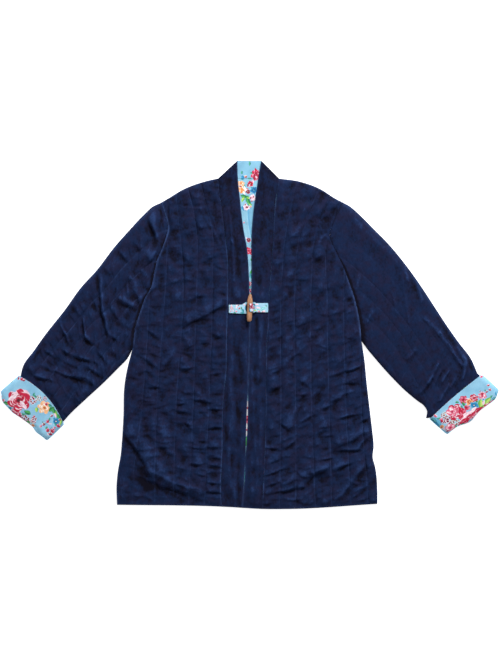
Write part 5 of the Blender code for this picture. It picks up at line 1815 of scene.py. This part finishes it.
@dataclass
class BackPanels:
    """The outer back, its printed lining, and the band behind the neck."""

    steps: int = 90
    rows: int = 110
    inset: float = 30.0
    length: float = 647.0

    def patch(self, s: Array, t: Array) -> Array:
        """A point of the whole back.

        Args:
            s: share from left to right.
            t: share from the shoulders to the hem.

        Returns:
            The points as (across, down).
        """
        top = Line(LEFT.shoulder.places + RIGHT.shoulder.places)
        first, last = HEM.places[0], HEM.places[-1]

        def hemline(share: Array) -> Array:
            """A point of the hem."""
            across = between(first[1], last[1], share)
            return points(across, HEM.down(across))

        def side_line(side: SidePattern, low: float, share: Array) -> Array:
            """A point of one side's armhole and side seam."""
            down = between(side.armhole.places[0][0], low, share)
            return points(side.outer(down), down)

        edges = (
            lambda share: top.at(share, straight=True),
            hemline,
            lambda share: side_line(LEFT, first[0], share),
            lambda share: side_line(RIGHT, last[0], share),
        )
        return patch(edges, s, t)

    def back(self, material: Material) -> None:
        """The back, flat underneath, with its rim rounded up to meet the fronts.

        Args:
            material: the velvet.
        """
        s, t = np.meshgrid(eased(self.steps), eased(self.rows))
        inside = np.minimum(np.minimum(s, 1 - s) * 500.0, np.minimum(t, 1 - t) * 640.0)
        low = 1.3 * (1 - rounding(inside, 6.0))
        high = BACK_TOP - 0.5 * (1 - rounding(inside, 6.0))
        piece = slab("outer_back", self.patch(s, t), low, high)
        dress(piece, material, "velvet", "back")

    def lining(self, material: Material) -> None:
        """The lining, inset but at the neck, with the soft pleat down its middle.

        The pleat is a low bell beside the crease, and past the crease the cloth dips, with painted
        shade on the print there.

        Args:
            material: the print.
        """
        runs = (0.1, 0.42, 30), (0.424, 0.53, 64), (0.535, 0.9, 30)
        steps = np.concatenate([np.linspace(*run) for run in runs])
        s, row = np.meshgrid(steps, np.linspace(0.0, 1.0, 160))
        neck = ramp((s - 0.33) / 0.04) * ramp((0.64 - s) / 0.04)
        first = between(self.inset, GAP, neck) / self.length
        plan = self.patch(s, first + (1 - self.inset / self.length - first) * row)
        across, down = plan[..., 0], plan[..., 1]
        crease = 5.0 * (np.maximum(down - 100.0, 0.0) / 55.0) ** 2 - 2.4
        open_neck = ramp((down - 60.0) / 40.0) * ramp((250.0 - down) / 60.0)
        pleat = 0.8 * np.exp(-(((across - crease + 2.5) / 3.0) ** 2)) * open_neck
        pleat -= 0.7 * ramp((across - crease + 1.0) / 3.0) * open_neck
        low = np.full_like(across, BACK_TOP + GAP)
        high = np.full_like(across, LINING_TOP) + pleat * (across > LEFT.free.across(down) + 1.0)
        # Painted shade along the crease and past it, only in the open neck
        beyond = across - crease
        shade = 0.55 * thread(beyond - 0.6, 1.7) + 0.42 * ramp(beyond / 3.0 + 0.5)
        piece = slab("back_lining", plan, low, high, {"painted_fold_shade": open_neck * np.minimum(shade, 0.95)})
        dress(piece, material, "flowered_cotton", "lining_back")

    def collar(self, material: Material) -> None:
        """The band behind the neck, lined side up, with velvet under it that turns over its rim.

        Args:
            material: the print.
        """
        s, t = np.meshgrid(np.linspace(0.0, 1.0, 60), np.linspace(0.0, 1.0, 44) ** 1.3)
        start, stop = LEFT.shoulder.places[-1], RIGHT.shoulder.places[0]
        top = points(-25.0 + 51.0 * s, 0.0 * s)
        down, across = (between(*ends, s) for ends in zip(start, stop))
        plan = between(top, points(across, down - GAP), t[..., None])
        edge = rounding(t * 40.0, 3.5)
        wave = 0.3 * np.sin(s * 9.0 + 1.0) * np.sin(np.pi * t)
        low = 1.2 * (1 - edge)
        high = 5.2 - 1.4 * (1 - edge) + wave
        turned = 1 - ramp((np.minimum(t, 1.4 * np.minimum(s, 1 - s)) * 40.0 - 0.5) / 0.9)
        # A little painted shade over the whole lined top
        pile = {"painted_fold_shade": 0.22 + 0 * wave, "turned": turned}
        piece = slab("collar_lining", plan, low, high, pile, below=1.0)
        dress(piece, material, "flowered_cotton", "band_back")


@dataclass
class Fastening:
    """The wooden toggle, its tab on the right band and its loop on the left one."""

    down: float = TOGGLE_DOWN
    across: float = 1.3
    length: float = 60.0
    width: float = 12.0
    height: float = 9.0
    underside: float = 13.7
    tilt: float = 0.035
    slot: tuple[float, float, float] = (3.4, 18.6, 30.0)
    middle: float = 18.2
    strap: float = 11.05
    sides: int = 48
    turned: tuple = (
        (0, 0.10), (0.012, 0.26), (0.03, 0.36), (0.1, 0.62), (0.2, 0.88), (0.32, 1), (0.46, 0.97),
        (0.6, 0.99), (0.75, 0.96), (0.86, 0.91), (0.94, 0.82), (0.98, 0.68), (0.995, 0.50), (1, 0.34),
    )  # fmt: skip

    def toggle(self, material: Material) -> None:
        """A turned spindle of oval section, cut through by the slot for its tab.

        Args:
            material: the wood.
        """
        profile = np.array(self.turned)
        share = eased(70)
        radius = smooth_through(profile[:, 0], profile[:, 1], share)
        angle = np.linspace(0.0, 2 * np.pi, self.sides, endpoint=False)
        across = self.across + self.width / 2 * radius[:, None] * np.cos(angle)
        down = self.down + self.length * (share - 0.5)[:, None] + 0 * angle
        across -= self.tilt * (down - self.down)
        height = self.underside + self.height / 2 * (1 + radius[:, None] * np.sin(angle))
        piece = cloth_mesh("wood_toggle", placed(points(across, down), height))
        bpy.ops.mesh.primitive_cube_add(size=1.0)
        cutter = bpy.context.object
        cutter.scale = [side * MM for side in self.slot]
        cutter.location = placed(np.array([self.across, self.down]), np.array(self.middle))
        cut = piece.modifiers.new("slot", "BOOLEAN")
        cut.operation, cut.solver, cut.object = "DIFFERENCE", "EXACT", cutter
        bpy.context.view_layer.update()
        evaluated = piece.evaluated_get(bpy.context.evaluated_depsgraph_get())
        cut_mesh = bpy.data.meshes.new_from_object(evaluated)
        piece.modifiers.clear()
        piece.data = cut_mesh
        bpy.data.objects.remove(cutter)
        cut_mesh.shade_smooth()
        cut_mesh.set_sharp_from_angle(angle=math.radians(40.0))
        dress(piece, material, "toggle_wood", "toggle")

    def strap_section(
        self, path: Array, half: Array, thick: float, columns: int
    ) -> tuple[Array, Array]:
        """Sweeps a flat strap along a closed path of (along, height) places.

        Args:
            path: the strap's middle, by place along it.
            half: half of its width at each place.
            thick: its thickness.
            columns: points across each face.

        Returns:
            The grid in metres, and the plan on the cloth.
        """
        run = np.roll(path, -1, axis=0) - np.roll(path, 1, axis=0)
        out = points(-run[:, 1], run[:, 0]) / np.hypot(run[:, 0], run[:, 1])[:, None]
        beside = np.sin(np.linspace(-np.pi / 2, np.pi / 2, columns))
        round_edge = np.sqrt(np.maximum(0.0, 1 - np.abs(beside) ** 14))
        side = np.concatenate([beside, beside[-2:0:-1]])
        lift = np.concatenate([round_edge, -round_edge[-2:0:-1]]) * thick / 2
        places = path[:, None, :] + out[:, None, :] * lift[None, :, None]
        down = self.down + half[:, None] * side[None, :]
        plan = points(self.across + places[..., 0], down)
        return placed(plan, places[..., 1]), plan

    def tab(self, material: Material) -> None:
        """The strap on the right band, through the toggle's slot, over its right half and back.

        Each place of its route is along, height and half of its width.

        Args:
            material: the print.
        """
        top, under, middle = self.underside + self.height, self.strap, self.middle
        over = under + 1.3
        route = np.array([
            (39, under - 1.5, 9.9), (28, under, 9.8), (14.4, under, 9.6), (12.2, under, 6),
            (10.6, under, 5.4), (7, 12.2, 5.6), (5, 12.65, 7.6), (1.4, 12.65, 7.8), (0, 14.3, 8.2),
            (0, middle, 8.6), (0, top - 0.3, 8.6), (1.2, top + 0.9, 8.6), (4, top - 0.1, 8.6),
            (6.4, top - 2.2, 8.6), (7.4, middle, 7.6), (8.3, 15.1, 6.2), (9.3, over + 0.3, 5.5),
            (10.6, over, 5.4), (12.2, over, 6), (14.4, over, 9.6), (28, over, 9.8),
            (39, over - 1.5, 9.9),
        ])  # fmt: skip
        length = np.append(0.0, np.cumsum(np.hypot(np.diff(route[:, 0]), np.diff(route[:, 1]))))
        at = np.linspace(0.0, length[-1], 150)
        along, height, half = (np.interp(at, length, route[:, k]) for k in range(3))
        grid, plan = self.strap_section(points(along, height), half, 1.0, 17)
        uv = plan - (self.across, self.down)
        uv = np.concatenate([uv, uv[:1]])
        uv = np.concatenate([uv, uv[:, :1]], axis=1)
        piece = cloth_mesh("print_tab", grid, uv, ring=True)
        dress(piece, material, "flowered_cotton", "toggle_tab")

    def loop(self, material: Material) -> None:
        """The strap on the left band, whose end is a ring that lies round the tab's neck.

        The grid runs between the ring's hole and the outline of ring and strip together.

        Args:
            material: the print.
        """
        far, split, half, strand = 15.2, -12.0, 11.4, 3.6
        middle, reach = (split + far) / 2, (far - split) / 2
        turn = np.radians(np.linspace(132.0, -132.0, 100))
        back = np.radians(np.linspace(-132.0, -228.0, 66))

        def squarish(angle: Array, long: float, wide: float) -> Array:
            """Points whose two shares, each to the fifth power, add up to one, wider at the left.

            Args:
                angle: angle round the middle.
                long: reach along the strap.
                wide: reach beside it.

            Returns:
                The points as (along, below).
            """
            total = (np.abs(np.cos(angle)) ** 5 + np.abs(np.sin(angle)) ** 5) ** -0.2
            right, below = long * total * np.cos(angle), -wide * total * np.sin(angle)
            return points(right, below * (1.04 - 0.010 * right) - 0.08 * right)

        ring = squarish(turn, reach, half)
        hole = squarish(np.concatenate([turn, back]), reach - strand, half - strand)
        start, stop = ring[-1], ring[0]
        side = np.linspace(0.0, 1.0, 24)[:, None]
        corner_low, corner_high = np.array([-44.6 - middle, 11.4]), np.array([-44.8 - middle, -6.2])
        neck_low, neck_high = np.array([-15.5 - middle, 13.0]), np.array([-16.5 - middle, -6.6])
        short, long = side[:8] * 24 / 8, side[1:18] * 24 / 18
        strip = np.concatenate([
            between(start, neck_low, short),
            between(neck_low, corner_low, long),
            between(corner_low, corner_high, np.linspace(0, 1, 16)[:, None]),
            between(corner_high, neck_high, long),
            between(neck_high, stop, short),
        ])  # fmt: skip
        outer = np.concatenate([ring, strip])
        inner = hole[np.linspace(0, len(hole) - 1, len(outer)).round().astype(int)]
        share = eased(15)
        across_ring = (outer - inner)[:, None, :] * share[None, :, None]
        flat = inner[:, None, :] + across_ring + (middle, 0.0)
        from_edge = np.minimum(share, 1 - share) * np.hypot(*(outer - inner).T)[:, None]
        low = self.loop_underside(flat[..., 0])
        half = 0.85
        rim = half * rounding(from_edge, 1.0)
        plan = flat + (self.across, self.down)
        top, bottom = placed(plan, low + half + rim), placed(plan, low + half - rim)
        grid = np.concatenate([top, bottom[:, -2:0:-1]], axis=1)
        uv = np.concatenate([flat, flat[:, -2:0:-1], flat[:, :1]], axis=1)
        uv = np.concatenate([uv, uv[:1]])
        piece = cloth_mesh("print_loop", grid, uv, ring=True)
        dress(piece, material, "flowered_cotton", "toggle_loop")

    def loop_underside(self, along: Array) -> Array:
        """It lies on the band, passes under the toggle and climbs over the tab at its far end.

        Args:
            along: place along the strap from the middle of the toggle.

        Returns:
            The height of its underside.
        """
        at = np.full_like(along, self.down)
        seam, free = LEFT.seam.across(at), LEFT.free.across(at)
        w = np.clip((self.across + along - seam) / (free - seam), 0.0, 0.8)
        low = OVER_LINING + 2.6 + 2.0 * padding(w) + GAP
        return between(low, 13.75, ramp((along - 4.0) / 6.6))


@dataclass
class Studio:
    """A pale floor, soft light from above and behind the neck, and a camera straight above."""

    lens: float = 100.0
    sensor: float = 36.0
    photo_rows: int = 669
    pixel: float = 2.15
    nearer: float = 1.005
    jacket_top: float = 0.010
    look_at: tuple[float, float] = (0.0005, 0.0009)

    def floor(self) -> None:
        """The surface that the jacket lies on, pale all over."""
        bpy.ops.mesh.primitive_plane_add(size=12.0, location=(0.0, 0.0, -0.0004))
        floor = bpy.context.object
        floor.name = "floor"
        glow = {"emission_color": (1.0, 1.0, 1.0), "emission_strength": 0.75}
        made = Surface("pale_floor", roughness=0.9, **glow)
        g = made.graph
        tone = g.noise(g.add("TexCoord", out=3), 3.0, 2.0)
        colour = g.mix(tone, (0.86, 0.86, 0.87), (0.90, 0.90, 0.90))
        floor.data.materials.append(made.finish(colour))

    def lamp(self, name: str, place: tuple, size: float, power: float) -> None:
        """One square soft light that faces the jacket's middle.

        Args:
            name: the light's name.
            place: where it hangs, in metres.
            size: its side in metres.
            power: its power in watts.
        """
        data = bpy.data.lights.new(name, "AREA")
        data.shape, data.size, data.energy = "SQUARE", size, power
        lamp = bpy.data.objects.new(name, data)
        lamp.location = place
        lamp.rotation_mode = "QUATERNION"
        direction = -np.array(place) / np.linalg.norm(place)
        lamp.rotation_quaternion = Vector(direction).to_track_quat("-Z", "Y")
        bpy.context.collection.objects.link(lamp)

    def build(self) -> None:
        """Sets up floor, world, lights and camera."""
        self.floor()
        world = bpy.data.worlds.new("studio")
        world.use_nodes = True
        sky = world.node_tree.nodes["Background"].inputs
        sky[0].default_value, sky[1].default_value = (0.95, 0.97, 1.0, 1.0), 0.28
        bpy.context.scene.world = world
        self.lamp("key", (0.75, 2.6, 1.75), 0.9, 150.0)
        self.lamp("fill", (-0.9, -0.8, 3.4), 2.4, 14.0)
        camera = bpy.data.cameras.new("camera")
        camera.lens, camera.sensor_width = self.lens, self.sensor
        seen = self.photo_rows * self.pixel * MM / self.nearer
        eye = bpy.data.objects.new("camera", camera)
        eye.location = (*self.look_at, seen * self.lens / self.sensor + self.jacket_top)
        bpy.context.collection.objects.link(eye)
        bpy.context.scene.camera = eye
        bpy.context.scene.view_settings.view_transform = "Standard"


@dataclass
class Jacket:
    """The whole jacket."""

    drawer: MotifDrawer = field(default_factory=MotifDrawer)

    def build(self) -> None:
        """Builds every piece in order."""
        velvet = Velvet().material()
        shaded = (0.275, 0.555, 0.72), (0.215, 0.45, 0.61)
        pale = (0.40, 0.66, 0.82), (0.30, 0.58, 0.76)
        prints = (
            FlowerPrint("neck_print", NECK_PRINT, (-60.0, -12.0), (60.0, 703.0), *shaded),
            FlowerPrint("strap_print", STRAP_PRINT, (-48.0, -16.0), (48.0, 16.0), *pale),
        )
        neck, straps = (cotton.material(self.drawer) for cotton in prints)
        panels = BackPanels()
        panels.back(velvet)
        panels.lining(neck)
        panels.collar(neck)
        for piece in (
            Front(
                "quilted_front_left", "front_left", LEFT, LEFT_FRONT_CREASES, seed=3, tilt=-0.05,
                lines=0.75, shadows=LEFT_FRONT_SHADOWS,
            ),
            Front("quilted_front_right", "front_right", RIGHT, RIGHT_FRONT_CREASES, seed=8, tilt=0.40),
            Band("smooth_band_left", "band_left", LEFT, LEFT_BAND_CREASES),
            Band("smooth_band_right", "band_right", RIGHT, RIGHT_BAND_CREASES),
            Sleeve("quilted_sleeve_left", "sleeve_left", LEFT, LEFT_SLEEVE_CREASES, seed=5, lines=1.5),
            Sleeve(
                "quilted_sleeve_right", "sleeve_right", RIGHT, RIGHT_SLEEVE_CREASES, seed=11,
                wear=0.16, lines=0.28, puff=1.0, calm_from=0.838,
            ),
        ):  # fmt: skip
            piece.build(velvet)
        for word, side, table, creases, seed, slip in (
            ("left", LEFT, LEFT_CUFF_PRINT, LEFT_CUFF_CREASES, 2, (0.0, 2.5)),
            ("right", RIGHT, RIGHT_CUFF_PRINT, RIGHT_CUFF_CREASES, 4, (2.0, -1.9)),
        ):
            cotton = FlowerPrint(f"cuff_print_{word}", table, (-11.0, -18.0), (151.0, 62.0))
            on = f"quilted_sleeve_{word}"
            cuff = Cuff(f"turned_cuff_{word}", f"cuff_{word}", side, seed, on, creases, slip)
            cuff.build(cotton.material(self.drawer))
        fastening = Fastening()
        fastening.toggle(Wood().material())
        fastening.tab(straps)
        fastening.loop(straps)


def main() -> None:
    """Builds the jacket and the studio."""
    logging.basicConfig(level=logging.INFO, format="%(name)s %(message)s")
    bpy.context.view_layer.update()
    Jacket().build()
    Studio().build()


if __name__ == "__main__":
    main()
